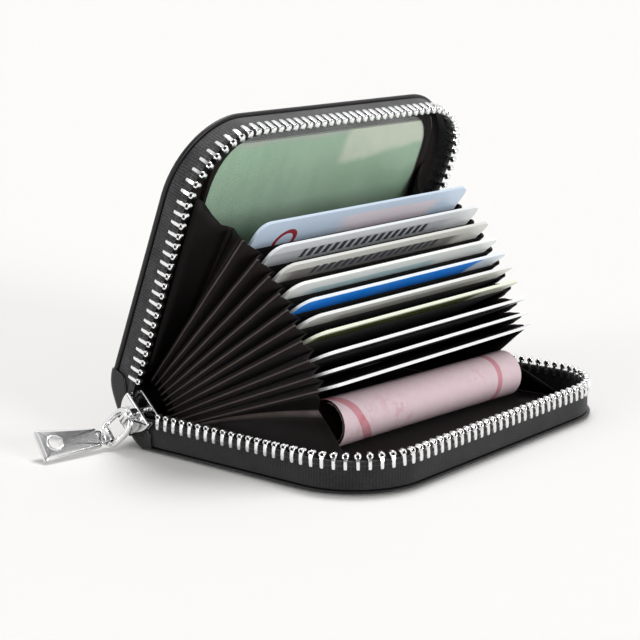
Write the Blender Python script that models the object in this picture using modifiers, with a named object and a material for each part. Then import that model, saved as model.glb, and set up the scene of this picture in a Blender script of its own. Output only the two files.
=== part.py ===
"""Zip-around card wallet with a fan of ten card sleeves, in metres, +Z up.

The lower cover lies on the ground plane: the origin is the centre of its underside, +X runs from
the spine to the opening side and +Y runs along the spine. The lid turns about an axis parallel to Y
that lies in the spine, level with the middle of the zip. Most pieces are placed in frames that sit
on that axis: x is then measured from the spine and z from the plane where the zip halves meet.
"""
import math

import bmesh
import bpy
from mathutils import Matrix, Vector
from mathutils.geometry import interpolate_bezier

# Cards, in the size of a bank or identity card
CARD_LENGTH = 0.0856
CARD_WIDTH = 0.05398
CARD_THICKNESS = 0.00076
CARD_RADIUS = 0.00318
CARD_COUNT = 10

# Case
SIDE_ROOM = 0.0122
FRONT_ROOM = 0.0155
CORNER_RADIUS = 0.020
TRAY_DEPTH = 0.0102
OPEN_ANGLE = math.radians(68.0)
CORNER_STEPS = 9

# Layers of each cover
LEATHER = 0.0012
LEATHER_ROUND = 0.00045
BOARD = 0.0006
BOARD_INSET = 0.003
LINING = 0.0003
LINING_INSET = 0.0018
LAYER_GAP = 0.0002
SEAT_GAP = 0.0003
COVER_START = 0.0038

# Card sleeves: two sheets of cloth with a card between them, hinged one on the other at the spine
FOLD_X = 0.0025
SLEEVE_SHEET = 0.00015
CARD_PLAY = 0.00006
SLEEVE_GAP = 0.00008
SLEEVE_START = 0.001
SLEEVE_LENGTH = 0.050
SLEEVE_SIDE = 0.0029
SLEEVE_ROUND = 0.0015
CARD_INNER = 0.004
SLEEVE_TURNS = [math.radians(turn) for turn in (19.8, 2.4, 2.75, 3.8, 2.9, 2.9, 3.3, 3.8, 4.0, 5.05)]
CARD_DRAWN = [0.0002, 0.0, 0.0003, 0.0001, 0.0004, 0.0002, 0.0, 0.0004, 0.0006, 0.0016]

# Pleated cloth at the ends of the sleeves
PLEAT_CLOTH = 0.0004
PLEAT_CLEARANCE = 0.00025
PLEAT_LAYER_GAP = 0.0001
PLEAT_DEPTH = 0.007
PLEAT_START = 0.0065
PLEAT_FLOOR_REACH = 0.006

# Window pocket on the lid
POCKET_PLAY = 0.0001
STACK_PLAY = 0.0002
FRAME_SHEET = 0.0002
FILM = 0.0002
ID_START = 0.015
ID_SHIFT = 0.0006
ID_SIDE_PLAY = 0.0004
FRAME_RIM = 0.0009
FRAME_RADIUS = 0.009
FRAME_FOOT_RADIUS = 0.002
POCKET_HEAD_ROOM = 0.0032
POCKET_MOUTH_ROOM = 0.0024
WINDOW_BORDER = 0.0022

# Zip tape and teeth
TAPE_INSET = 0.0010
TAPE = 0.0006
TAPE_TOP = 0.0026
TAPE_START = 0.0006
CHAIN_START = 0.0076
TOOTH_PITCH = 0.00275
TOOTH_WIDTH = 0.00125
TOOTH_LEG = 0.00095
TOOTH_HEAD = 0.00125
TOOTH_CROWN = 0.0007
TOOTH_TIP = 0.0006
TOOTH_SHOULDER = 0.0006
TOOTH_FOOT = 0.0034
TOOTH_SLOT = 0.00045
TOOTH_SLOT_TOP = 0.00245
CORD_TOP = 0.0013
CORD_FOOT = 0.0022
CORD_HALF = 0.0004
CORD_END = 0.0008

# Metal stops at the ends of the teeth, and leather tabs over the tape ends
STOP_LENGTH = 0.0016
STOP_HALF = 0.0008
STOP_TOP = 0.0021
STOP_FOOT = 0.0037
STOP_NEAR_X = 0.0014
STOP_FAR_GAP = 0.0004
TAB_START = 0.0006
TAB_END = 0.0070
TAB_TOP = 0.0046
TAB_GAP = 0.00015
TAB_LEATHER = 0.0004
TAB_ROUND = 0.0012

# Spine leather
SPINE_LID_X = 0.0020
SPINE_FOOT_HANDLE = 0.003
SPINE_LID_HANDLE = 0.005
SPINE_HUB_X = -0.0004
SPINE_STEPS = 14

# Slider, measured from the place near the spine that it tilts about
SLIDER_ANGLE = math.radians(45.3)
SLIDER_PIVOT_X = 0.0030
SLIDER_FRONT_X = 0.0016
SLIDER_SHOULDER_X = -0.0011
SLIDER_WAIST_X = -0.0046
SLIDER_BACK_X = -0.0064
SLIDER_FRONT_HALF = 0.0052
SLIDER_WAIST_HALF = 0.0032
SLIDER_BACK_HALF = 0.0022
SLIDER_HALF_DEPTH = 0.00265
SLIDER_PLATE = 0.0008
SLIDER_FLANGE = 0.0007
SLIDER_SLOT_HALF = 0.0010
POST_FRONT_X = 0.0009
POST_BACK_X = -0.0013
POST_HALF = 0.0010
BAIL_BACK_X = -0.0038
BAIL_FRONT_X = 0.0014
BAIL_WIDTH = 0.0018
BAIL_BAR = 0.0009
BAIL_PLAY = 0.0005
BAIL_ROUND = 0.0008

# Pull: a pear-shaped link, and a flat tab whose end is curled round the link's cross bar.
# The link hangs a little twisted about the slider's length, as the play in the bail lets it.
PULL_TWIST = math.radians(-12.0)
LINK_WIRE = 0.0016
LINK_LENGTH = 0.0090
LINK_HEAD_HALF = 0.0022
LINK_FOOT_HALF = 0.0031
LINK_HEAD_ROUND = 0.0015
LINK_FOOT_ROUND = 0.0013
LINK_SHOULDER_X = 0.0030
LINK_SHOULDER_HALF = 0.0031
LINK_ANGLE = math.radians(9.0)
PULL_LENGTH = 0.019
PULL_THICKNESS = 0.0018
PULL_TIP_HALF = 0.0046
PULL_NECK_HALF = 0.0027
PULL_NECK_X = 0.0026
PULL_NECK_LAP = 0.0016
PULL_CHAMFER = 0.0008
PULL_BEVEL = 0.0003
PULL_TABLE_GAP = 0.0002
EYE_RADIUS = 0.0015
EYE_PLAY = 0.00015
EYE_HALF = 0.0018
NECK_HALF = 0.0017
HOLE_FROM_TIP = 0.0042
HOLE_RADIUS = 0.0017
HOLE_RIM = 0.0005
HOLE_RIM_RISE = 0.0003

# Rolled note in the lowest compartment
ROLL_RADIUS = 0.0065
ROLL_LENGTH = 0.066
ROLL_PAPER = 0.0004
ROLL_STEP = 0.0009
ROLL_TURNS = 1.5
ROLL_EDGE = math.radians(-90.0)
ROLL_TURN_STEPS = 18
ROLL_CLEARANCE = 0.0023
ROLL_SHIFT = 0.0053
ROLL_YAW = math.radians(-4.0)

OVERRUN = 0.002

# Sizes that follow from the ones above
CASE_LENGTH = CARD_LENGTH + 2 * SIDE_ROOM
CASE_WIDTH = FOLD_X + CARD_INNER + CARD_WIDTH + FRONT_ROOM
HALF_LENGTH = CASE_LENGTH / 2
SLEEVE_DEPTH = CARD_THICKNESS + 2 * CARD_PLAY + 2 * SLEEVE_SHEET
SLEEVE_PITCH = SLEEVE_DEPTH + SLEEVE_GAP
SLEEVE_HALF = CARD_LENGTH / 2 + SLEEVE_SIDE
COVER_LAYERS = LEATHER + LAYER_GAP + BOARD + LAYER_GAP + LINING
POCKET_DEPTH = POCKET_PLAY + CARD_THICKNESS + POCKET_PLAY + FILM + POCKET_PLAY
STACK_FLOOR = TRAY_DEPTH - COVER_LAYERS - LAYER_GAP
STACK_TOP = CARD_COUNT * SLEEVE_PITCH - STACK_FLOOR
LID_FRAME_FACE = STACK_TOP + STACK_PLAY
LID_LINING_FACE = LID_FRAME_FACE + FRAME_SHEET + POCKET_DEPTH
LID_DEPTH = LID_LINING_FACE + COVER_LAYERS
FIRST_FOLD_Z = -STACK_FLOOR + SLEEVE_DEPTH / 2
TAPE_Y = HALF_LENGTH - TAPE_INSET
END_LEATHER_Y = TAPE_Y + TAPE / 2 + TAB_GAP

parts = bpy.data.collections.new("card_wallet")
cutters = bpy.data.collections.new("card_wallet_cutters")


def clear_scene():
    for old in list(bpy.data.objects):
        bpy.data.objects.remove(old, do_unlink=True)
    bpy.context.scene.collection.children.link(parts)
    bpy.context.scene.collection.children.link(cutters)


def material(name, colour, roughness, metallic=0.0, alpha=1.0):
    finish = bpy.data.materials.new(name)
    finish.use_nodes = True
    shader = finish.node_tree.nodes["Principled BSDF"]
    shader.inputs["Base Color"].default_value = (*colour, 1.0)
    shader.inputs["Roughness"].default_value = roughness
    shader.inputs["Metallic"].default_value = metallic
    shader.inputs["Alpha"].default_value = alpha
    return finish


def frame(name, place, turn_y=0.0, turn_z=0.0, parent=None):
    """An empty that pieces are placed in, turned about its own Z and then about Y."""
    empty = bpy.data.objects.new(name, None)
    empty.empty_display_size = CARD_INNER
    cutters.objects.link(empty)
    empty.parent = parent
    empty.location = place
    empty.rotation_euler = (0.0, turn_y, turn_z)
    return empty


def add_piece(name, mesh, holder, finish=None):
    """Links a mesh as a part, or as a cutter when it has no finish."""
    piece = bpy.data.objects.new(name, mesh)
    if finish is None:
        piece.hide_render = True
        piece.display_type = "WIRE"
        cutters.objects.link(piece)
    else:
        mesh.materials.append(finish)
        parts.objects.link(piece)
    piece.parent = holder
    return piece


def curve_to_mesh(curve):
    """Turns a curve into a mesh whose caps are welded to its sides."""
    guide = bpy.data.objects.new(curve.name, curve)
    cutters.objects.link(guide)
    graph = bpy.context.evaluated_depsgraph_get()
    mesh = bpy.data.meshes.new_from_object(guide.evaluated_get(graph))
    bpy.data.objects.remove(guide, do_unlink=True)
    body = bmesh.new()
    body.from_mesh(mesh)
    bmesh.ops.remove_doubles(body, verts=body.verts, dist=CARD_PLAY / 10)
    bmesh.ops.recalc_face_normals(body, faces=body.faces)
    body.to_mesh(mesh)
    body.free()
    return mesh


def flat_mesh(name, outline, depth):
    """A closed outline in XY, filled and extruded to the depth about the plane z = 0."""
    curve = bpy.data.curves.new(name, "CURVE")
    curve.dimensions = "2D"
    curve.fill_mode = "BOTH"
    curve.extrude = depth / 2
    spline = curve.splines.new("POLY")
    spline.points.add(len(outline) - 1)
    for point, (x, y) in zip(spline.points, outline):
        point.co = (x, y, 0.0, 1.0)
    spline.use_cyclic_u = True
    return curve_to_mesh(curve)


def plate(name, outline, low, high, holder, finish=None):
    """An outline in XY that reaches from z = low to z = high."""
    mesh = flat_mesh(name, outline, high - low)
    mesh.transform(Matrix.Translation((0.0, 0.0, (low + high) / 2)))
    return add_piece(name, mesh, holder, finish)


def side_plate(name, outline, low, high, holder, finish=None):
    """An outline in XZ that reaches from y = low to y = high."""
    mesh = flat_mesh(name, outline, high - low)
    upright = Matrix.Rotation(math.radians(90.0), 4, "X")
    mesh.transform(Matrix.Translation((0.0, (low + high) / 2, 0.0)) @ upright)
    return add_piece(name, mesh, holder, finish)


def block(name, low, high, holder, finish=None):
    """A box between two corners."""
    body = bmesh.new()
    bmesh.ops.create_cube(body, size=1.0)
    size = [b - a for a, b in zip(low, high)]
    middle = [(a + b) / 2 for a, b in zip(low, high)]
    bmesh.ops.scale(body, vec=size, verts=body.verts)
    bmesh.ops.translate(body, vec=middle, verts=body.verts)
    mesh = bpy.data.meshes.new(name)
    body.to_mesh(mesh)
    body.free()
    return add_piece(name, mesh, holder, finish)


def rod(name, radius, half, holder, sides=16):
    """A cylinder along Z about the frame's origin."""
    body = bmesh.new()
    bmesh.ops.create_cone(body, cap_ends=True, segments=sides,
                          radius1=radius, radius2=radius, depth=2 * half)
    mesh = bpy.data.meshes.new(name)
    body.to_mesh(mesh)
    body.free()
    return add_piece(name, mesh, holder)


def combine(piece, tool, operation):
    step = piece.modifiers.new(tool.name, "BOOLEAN")
    step.operation = operation
    step.object = tool
    step.solver = "EXACT"


def round_edges(piece, width, segments=2):
    bevel = piece.modifiers.new("rounded edges", "BEVEL")
    bevel.width = width
    bevel.segments = segments
    bevel.limit_method = "ANGLE"
    bevel.angle_limit = math.radians(60.0)


def arc(centre, radius, start, end, steps):
    """Points on an arc, with angles in degrees."""
    angles = [math.radians(start + (end - start) * k / steps) for k in range(steps + 1)]
    return [(centre[0] + radius * math.cos(a), centre[1] + radius * math.sin(a)) for a in angles]


def rounded_box(low, high, radii, steps=4):
    """A rectangle with its own radius at each corner, from low x and low y on, turning left."""
    corners = ((low[0], low[1], 180), (high[0], low[1], 270), (high[0], high[1], 0), (low[0], high[1], 90))
    points = []
    for (x, y, start), radius in zip(corners, radii):
        centre_x = x + radius if x == low[0] else x - radius
        centre_y = y + radius if y == low[1] else y - radius
        points += arc((centre_x, centre_y), radius, start, start + 90, steps)
    return points


def smooth(piece, angle=40.0):
    piece.data.shade_smooth()
    piece.data.set_sharp_from_angle(angle=math.radians(angle))


def case_path(inset, start):
    """The three zipped sides of the case from the near spine end round to the far one, moved in."""
    half = HALF_LENGTH - inset
    radius = CORNER_RADIUS - inset
    centre_x = CASE_WIDTH - CORNER_RADIUS
    centre_y = HALF_LENGTH - CORNER_RADIUS
    near = arc((centre_x, -centre_y), radius, -90, 0, CORNER_STEPS)
    far = arc((centre_x, centre_y), radius, 0, 90, CORNER_STEPS)
    return [(start, -half)] + near + far + [(start, half)]


def case_point(distance, start):
    """Place and outward direction at a distance along the middle of the tape."""
    radius = CORNER_RADIUS - TAPE_INSET
    run = CASE_WIDTH - CORNER_RADIUS - start
    bend = radius * math.pi / 2
    front = CASE_LENGTH - 2 * CORNER_RADIUS
    centre_x = CASE_WIDTH - CORNER_RADIUS
    centre_y = HALF_LENGTH - CORNER_RADIUS
    if distance < run:
        return Vector((start + distance, -TAPE_Y)), Vector((0.0, -1.0))
    distance -= run
    if distance < bend:
        turn = distance / radius - math.pi / 2
        out = Vector((math.cos(turn), math.sin(turn)))
        return Vector((centre_x, -centre_y)) + radius * out, out
    distance -= bend
    if distance < front:
        return Vector((centre_x + radius, distance - centre_y)), Vector((1.0, 0.0))
    distance -= front
    if distance < bend:
        turn = distance / radius
        out = Vector((math.cos(turn), math.sin(turn)))
        return Vector((centre_x, centre_y)) + radius * out, out
    distance -= bend
    return Vector((centre_x - distance, TAPE_Y)), Vector((0.0, 1.0))


def chain_length():
    """Length of the toothed run along the middle of the tape."""
    run = CASE_WIDTH - CORNER_RADIUS - CHAIN_START
    bend = (CORNER_RADIUS - TAPE_INSET) * math.pi / 2
    return 2 * run + 2 * bend + CASE_LENGTH - 2 * CORNER_RADIUS


def cover(prefix, side, depth, holder, leather, card, cloth):
    """Leather, stiffening board and lining of one half. side is -1 for the tray and 1 for the lid."""
    outer = depth
    shell = layer(prefix + "cover", case_path(0.0, COVER_START), side, outer, LEATHER, holder, leather)
    round_edges(shell, LEATHER_ROUND)
    smooth(shell)
    outer -= LEATHER + LAYER_GAP
    inner_start = COVER_START + BOARD_INSET
    layer(prefix + "board", case_path(BOARD_INSET, inner_start), side, outer, BOARD, holder, card)
    outer -= BOARD + LAYER_GAP
    layer(prefix + "lining", case_path(LINING_INSET, COVER_START), side, outer, LINING, holder, cloth)


def layer(name, outline, side, outer, thickness, holder, finish):
    """A flat layer whose outer face is at the given distance from the zip's middle plane."""
    ends = sorted((side * outer, side * (outer - thickness)))
    return plate(name, outline, ends[0], ends[1], holder, finish)


def zip_tape(name, side, depth, holder, cloth):
    """The tape's wall, from just inside the cover up to the teeth."""
    outer = case_path(TAPE_INSET - TAPE / 2, TAPE_START)
    inner = case_path(TAPE_INSET + TAPE / 2, TAPE_START)
    ends = sorted((side * (depth - LEATHER - SEAT_GAP), side * TAPE_TOP))
    return plate(name, outer + inner[::-1], ends[0], ends[1], holder, cloth)


def zip_chain(name, side, stagger, holder, metal):
    """One half of the zip: teeth that straddle the tape, on a cord that joins them.

    The body is a loft along the case path between two unlike sections, the cord's and the tooth's.
    Both are given as (outward, up from the middle plane) for the tray half.
    """
    tooth = [(TOOTH_LEG, -TOOTH_FOOT), (TOOTH_HEAD, -TOOTH_SHOULDER), (TOOTH_CROWN, TOOTH_TIP),
             (-TOOTH_CROWN, TOOTH_TIP), (-TOOTH_HEAD, -TOOTH_SHOULDER), (-TOOTH_LEG, -TOOTH_FOOT),
             (-TOOTH_SLOT, -TOOTH_FOOT), (-TOOTH_SLOT, -TOOTH_SLOT_TOP),
             (TOOTH_SLOT, -TOOTH_SLOT_TOP), (TOOTH_SLOT, -TOOTH_FOOT)]
    cord = [(CORD_HALF, -CORD_FOOT), (CORD_HALF, -CORD_TOP), (-CORD_HALF, -CORD_TOP), (-CORD_HALF, -CORD_FOOT)]
    body = bmesh.new()

    def section(distance, points):
        place, out = case_point(distance, CHAIN_START)
        return [body.verts.new((place.x + out.x * y, place.y + out.y * y, -side * z)) for y, z in points]

    def join(first, second):
        count = len(first)
        for k in range(count):
            body.faces.new((first[k], first[(k + 1) % count], second[(k + 1) % count], second[k]))

    def face(outline, hole):
        body.faces.new((outline[0], outline[1], hole[1], hole[0], outline[8], outline[9]))
        body.faces.new((outline[1], outline[2], outline[3], outline[4], hole[2], hole[1]))
        body.faces.new((outline[4], outline[5], outline[6], outline[7], hole[3], hole[2]))
        body.faces.new((outline[7], outline[8], hole[0], hole[3]))

    length = chain_length() - TOOTH_PITCH
    count = int(length / TOOTH_PITCH)
    first = TOOTH_PITCH / 2 + stagger * TOOTH_PITCH
    last = section(first - TOOTH_WIDTH / 2 - CORD_END, cord)
    body.faces.new(last)
    for k in range(count):
        middle = first + k * TOOTH_PITCH
        hole = section(middle - TOOTH_WIDTH / 2, cord)
        join(last, hole)
        near = section(middle - TOOTH_WIDTH / 2, tooth)
        face(near, hole)
        far = section(middle + TOOTH_WIDTH / 2, tooth)
        join(near, far)
        last = section(middle + TOOTH_WIDTH / 2, cord)
        face(far, last)
    end = section(first + (count - 1) * TOOTH_PITCH + TOOTH_WIDTH / 2 + CORD_END, cord)
    join(last, end)
    body.faces.new(end)
    bmesh.ops.recalc_face_normals(body, faces=body.faces)
    mesh = bpy.data.meshes.new(name)
    body.to_mesh(mesh)
    body.free()
    add_piece(name, mesh, holder, metal)


def end_stop(name, side, x, y, holder, metal):
    """A metal clip that straddles the edge of the tape."""
    z = sorted((side * STOP_TOP, side * STOP_FOOT))
    clip = block(name, (x, y - STOP_HALF, z[0]), (x + STOP_LENGTH, y + STOP_HALF, z[1]), holder, metal)
    slot_z = sorted((side * TOOTH_SLOT_TOP, side * (STOP_FOOT + OVERRUN)))
    slot = block(name + "_slot", (x - OVERRUN, y - TOOTH_SLOT, slot_z[0]),
                 (x + STOP_LENGTH + OVERRUN, y + TOOTH_SLOT, slot_z[1]), holder)
    combine(clip, slot, "DIFFERENCE")


def end_tab(name, side, end, depth, holder, leather):
    """The leather tab that covers an end of the tape. end is -1 near and 1 far."""
    low, high = sorted((side * TAB_TOP, side * (depth - LEATHER - SEAT_GAP)))
    outline = rounded_box((TAB_START, low), (TAB_END, high), [TAB_ROUND] * 4)
    y = sorted((end * END_LEATHER_Y, end * (END_LEATHER_Y + TAB_LEATHER)))
    side_plate(name, outline, y[0], y[1], holder, leather)


def half_zip(prefix, side, depth, stagger, holder, cloth, metal, leather):
    """Tape, teeth, stops and leather tabs of one half."""
    zip_tape(prefix + "zip_tape", side, depth, holder, cloth)
    zip_chain(prefix + "zip_chain", side, stagger, holder, metal)
    end_stop(prefix + "near_stop", side, STOP_NEAR_X, -TAPE_Y, holder, metal)
    far_x = CHAIN_START - CORD_END - STOP_FAR_GAP - STOP_LENGTH
    end_stop(prefix + "far_stop", side, far_x, TAPE_Y, holder, metal)
    end_tab(prefix + "near_tab", side, -1, depth, holder, leather)
    end_tab(prefix + "far_tab", side, 1, depth, holder, leather)


def lid_direction():
    """Unit vectors along the lid and out of it, in the plane across the spine."""
    along = Vector((math.cos(OPEN_ANGLE), math.sin(OPEN_ANGLE)))
    return along, Vector((-along.y, along.x))


def spine_leather(holder, leather):
    """The leather round the spine, a bowed sheet closed at both ends by thin leather cheeks."""
    along, outward = lid_direction()
    foot = Vector((COVER_START - SEAT_GAP, -TRAY_DEPTH))
    head = (SPINE_LID_X - SEAT_GAP) * along + LID_DEPTH * outward
    outer = interpolate_bezier(foot, foot - Vector((SPINE_FOOT_HANDLE, 0.0)),
                               head - SPINE_LID_HANDLE * along, head, SPINE_STEPS)
    inner = []
    for k, point in enumerate(outer):
        run = outer[min(k + 1, SPINE_STEPS - 1)] - outer[max(k - 1, 0)]
        normal = Vector((-run.y, run.x)).normalized()
        inner.append(Vector(point[:2]) - LEATHER * normal)
    cheek_x = TAB_START - TAB_GAP
    lid_corner = cheek_x * along + (LID_DEPTH - LEATHER) * outward
    tray_corner = (cheek_x, LEATHER - TRAY_DEPTH)
    shape = [tuple(p[:2]) for p in outer] + [tuple(inner[-1]), tuple(lid_corner), (SPINE_HUB_X, 0.0)]
    shape += [tray_corner, tuple(inner[0])]
    half = END_LEATHER_Y + TAB_LEATHER
    spine = side_plate("spine_leather", shape, -half, half, holder, leather)
    clear_head = inner[-1] + OVERRUN * along
    clear_foot = inner[0] + Vector((OVERRUN, 0.0))
    hollow = [tuple(p) for p in inner] + [tuple(clear_head), (CASE_WIDTH / 2, 0.0), tuple(clear_foot)]
    inside = side_plate("spine_inside", hollow, -END_LEATHER_Y, END_LEATHER_Y, holder)
    combine(spine, inside, "DIFFERENCE")
    smooth(spine)


def sleeve_frames(tray):
    """A chain of frames at the folds, each hinged on the one below it."""
    frames = []
    parent, place = tray, (FOLD_X, 0.0, FIRST_FOLD_Z)
    for k, turn in enumerate(SLEEVE_TURNS):
        parent = frame("sleeve_hinge_%02d" % (k + 1), place, -turn, 0.0, parent)
        place = (0.0, 0.0, SLEEVE_PITCH)
        frames.append(parent)
    return frames


def sleeve(number, holder, cloth, paint):
    """Two sheets of cloth and the card between them."""
    high_x = SLEEVE_START + SLEEVE_LENGTH
    outline = rounded_box((SLEEVE_START, -SLEEVE_HALF), (high_x, SLEEVE_HALF),
                          [SLEEVE_ROUND] * 4, steps=2)
    outer = SLEEVE_DEPTH / 2
    inner = outer - SLEEVE_SHEET
    plate("sleeve_%02d_back" % number, outline, -outer, -inner, holder, cloth)
    plate("sleeve_%02d_front" % number, outline, inner, outer, holder, cloth)
    start = CARD_INNER + CARD_DRAWN[number - 1]
    shape = rounded_box((start, -CARD_LENGTH / 2), (start + CARD_WIDTH, CARD_LENGTH / 2), [CARD_RADIUS] * 4)
    plate("card_%02d" % number, shape, -CARD_THICKNESS / 2, CARD_THICKNESS / 2, holder, paint)


def pleats(name, end, holder, cloth):
    """Accordion cloth that joins the ends of the sleeves: a ridge over each, a valley between them.

    The cloth is a zigzag sheet of even depth along Y. It is lofted between three stations along
    the sleeves, and its valleys deepen towards the mouth, where the sleeves stand further apart.
    """
    along, outward = lid_direction()
    stations = [PLEAT_START, (PLEAT_START + SLEEVE_LENGTH) / 2, SLEEVE_START + SLEEVE_LENGTH]
    depth_shares = [0.04, 0.7, 1.0]
    ridge_y = SLEEVE_HALF + PLEAT_CLEARANCE
    body = bmesh.new()
    outer_rows, inner_rows = [], []
    for reach, share in zip(stations, depth_shares):
        depth = PLEAT_DEPTH * share
        floor = Vector((FOLD_X + reach + PLEAT_FLOOR_REACH * share, -STACK_FLOOR))
        line = [(floor, 0.0)]
        fold = Vector((FOLD_X, FIRST_FOLD_Z))
        angle = 0.0
        for turn in SLEEVE_TURNS:
            angle += turn
            run = Vector((math.cos(angle), math.sin(angle)))
            rise = Vector((-run.y, run.x))
            lift = SLEEVE_DEPTH / 2 + PLEAT_LAYER_GAP / 3
            low = fold + reach * run - lift * rise
            line += [((line[-1][0] + low) / 2, depth), (low, 0.0), (fold + reach * run + lift * rise, 0.0)]
            fold = fold + SLEEVE_PITCH * rise
        lid_point = reach * along + (LID_FRAME_FACE - LAYER_GAP) * outward
        line += [((line[-1][0] + lid_point) / 2, depth), (lid_point, 0.0)]
        outer_rows.append([body.verts.new((p.x, end * (ridge_y + PLEAT_CLOTH - d), p.y)) for p, d in line])
        inner_rows.append([body.verts.new((p.x, end * (ridge_y - d), p.y)) for p, d in line])
    count = len(outer_rows[0])
    for rows in (outer_rows, inner_rows):
        for a, b in zip(rows, rows[1:]):
            for k in range(count - 1):
                body.faces.new((a[k], a[k + 1], b[k + 1], b[k]))
    for k in (0, -1):
        for j in range(count - 1):
            body.faces.new((outer_rows[k][j], outer_rows[k][j + 1], inner_rows[k][j + 1], inner_rows[k][j]))
        for a, b, c, d in zip(outer_rows, outer_rows[1:], inner_rows[1:], inner_rows):
            body.faces.new((a[k], b[k], c[k], d[k]))
    bmesh.ops.recalc_face_normals(body, faces=body.faces)
    mesh = bpy.data.meshes.new(name)
    body.to_mesh(mesh)
    body.free()
    add_piece(name, mesh, holder, cloth)


def window_pocket(holder, cloth, clear, paint):
    """The lid's pocket: a framed film window over one card, open at its far end."""
    low_x = ID_START - ID_SIDE_PLAY
    high_x = ID_START + CARD_WIDTH + POCKET_HEAD_ROOM
    near_y = ID_SHIFT - CARD_LENGTH / 2 - ID_SIDE_PLAY
    far_y = ID_SHIFT + CARD_LENGTH / 2 + POCKET_MOUTH_ROOM
    radii = [FRAME_FOOT_RADIUS, FRAME_RADIUS, FRAME_RADIUS, FRAME_FOOT_RADIUS]
    inner_radii = [radius - FRAME_RIM for radius in radii]
    rim_high = LID_LINING_FACE - POCKET_PLAY
    outline = rounded_box((low_x - FRAME_RIM, near_y - FRAME_RIM), (high_x + FRAME_RIM, far_y), radii)
    rim = plate("id_window_frame", outline, LID_FRAME_FACE, rim_high, holder, cloth)
    far_open = far_y + FRAME_RADIUS + OVERRUN
    hollow = rounded_box((low_x, near_y), (high_x, far_open), inner_radii)
    pocket = plate("id_pocket_space", hollow, LID_FRAME_FACE + FRAME_SHEET, rim_high + OVERRUN, holder)
    combine(rim, pocket, "DIFFERENCE")
    view = rounded_box((low_x + WINDOW_BORDER, near_y + WINDOW_BORDER),
                       (high_x - WINDOW_BORDER, far_y - WINDOW_BORDER), inner_radii)
    window = plate("id_window_space", view, LID_FRAME_FACE - OVERRUN, rim_high + OVERRUN, holder)
    combine(rim, window, "DIFFERENCE")
    sheet = rounded_box((low_x + POCKET_PLAY, near_y + POCKET_PLAY),
                        (high_x - POCKET_PLAY, far_y - POCKET_PLAY), inner_radii)
    film_face = LID_FRAME_FACE + FRAME_SHEET + POCKET_PLAY
    plate("id_window_film", sheet, film_face, film_face + FILM, holder, clear)
    card_face = film_face + FILM + POCKET_PLAY
    shape = rounded_box((ID_START, ID_SHIFT - CARD_LENGTH / 2),
                        (ID_START + CARD_WIDTH, ID_SHIFT + CARD_LENGTH / 2), [CARD_RADIUS] * 4)
    plate("id_card", shape, card_face, card_face + CARD_THICKNESS, holder, paint)


def note_roll(tray, paper):
    """A sheet of paper rolled into a loose spiral, lying on its outer edge in the lowest compartment."""
    height = ROLL_RADIUS + SEAT_GAP - (TRAY_DEPTH - COVER_LAYERS)
    turn = SLEEVE_TURNS[0]
    away = ROLL_RADIUS + ROLL_CLEARANCE + SLEEVE_DEPTH / 2
    x = FOLD_X + (away + (height - FIRST_FOLD_Z) * math.cos(turn)) / math.sin(turn)
    holder = frame("note_roll_place", (x, ROLL_SHIFT, height), 0.0, ROLL_YAW, tray)
    steps = round(ROLL_TURNS * ROLL_TURN_STEPS)
    outer, inner = [], []
    for k in range(steps + 1):
        turn = ROLL_EDGE + 2 * math.pi * k / ROLL_TURN_STEPS
        radius = ROLL_RADIUS - ROLL_STEP * k / ROLL_TURN_STEPS
        outer.append((radius * math.cos(turn), radius * math.sin(turn)))
        inner.append(((radius - ROLL_PAPER) * math.cos(turn), (radius - ROLL_PAPER) * math.sin(turn)))
    roll = side_plate("note_roll", outer + inner[::-1], -ROLL_LENGTH / 2, ROLL_LENGTH / 2, holder, paper)
    smooth(roll)


def slider(holder, metal):
    """Slider body: two plates with turned-in flanges, a post between them and a bail outside."""
    half_side = [(SLIDER_FRONT_X, SLIDER_FRONT_HALF), (SLIDER_SHOULDER_X, SLIDER_FRONT_HALF),
                 (SLIDER_WAIST_X, SLIDER_WAIST_HALF), (SLIDER_BACK_X, SLIDER_BACK_HALF)]
    outline = half_side + [(x, -z) for x, z in half_side[::-1]]
    outer = SLIDER_HALF_DEPTH
    body = side_plate("slider", outline, -TAPE_Y - outer, -TAPE_Y + outer, holder, metal)
    slot_size = SLIDER_SLOT_HALF
    wide = SLIDER_FRONT_HALF + OVERRUN
    slot = block("slider_slot", (SLIDER_BACK_X - OVERRUN, -TAPE_Y - slot_size, -wide),
                 (SLIDER_FRONT_X + OVERRUN, -TAPE_Y + slot_size, wide), holder)
    room = [(x, z - SLIDER_FLANGE) for x, z in half_side]
    room = [(SLIDER_FRONT_X + OVERRUN, room[0][1])] + room + [(SLIDER_BACK_X - OVERRUN, room[-1][1])]
    room = room + [(x, -z) for x, z in room[::-1]]
    depth = SLIDER_HALF_DEPTH - SLIDER_PLATE
    channel = side_plate("slider_channel", room, -TAPE_Y - depth, -TAPE_Y + depth, holder)
    combine(body, channel, "DIFFERENCE")
    combine(body, slot, "DIFFERENCE")
    middle = (POST_FRONT_X + POST_BACK_X) / 2
    wedge = [(POST_FRONT_X, 0.0), (middle, POST_HALF), (POST_BACK_X, 0.0), (middle, -POST_HALF)]
    reach = SLIDER_HALF_DEPTH - SLIDER_PLATE / 2
    post = side_plate("slider_post", wedge, -TAPE_Y - reach, -TAPE_Y + reach, holder)
    combine(body, post, "UNION")
    combine(body, bail(holder), "UNION")


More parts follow.
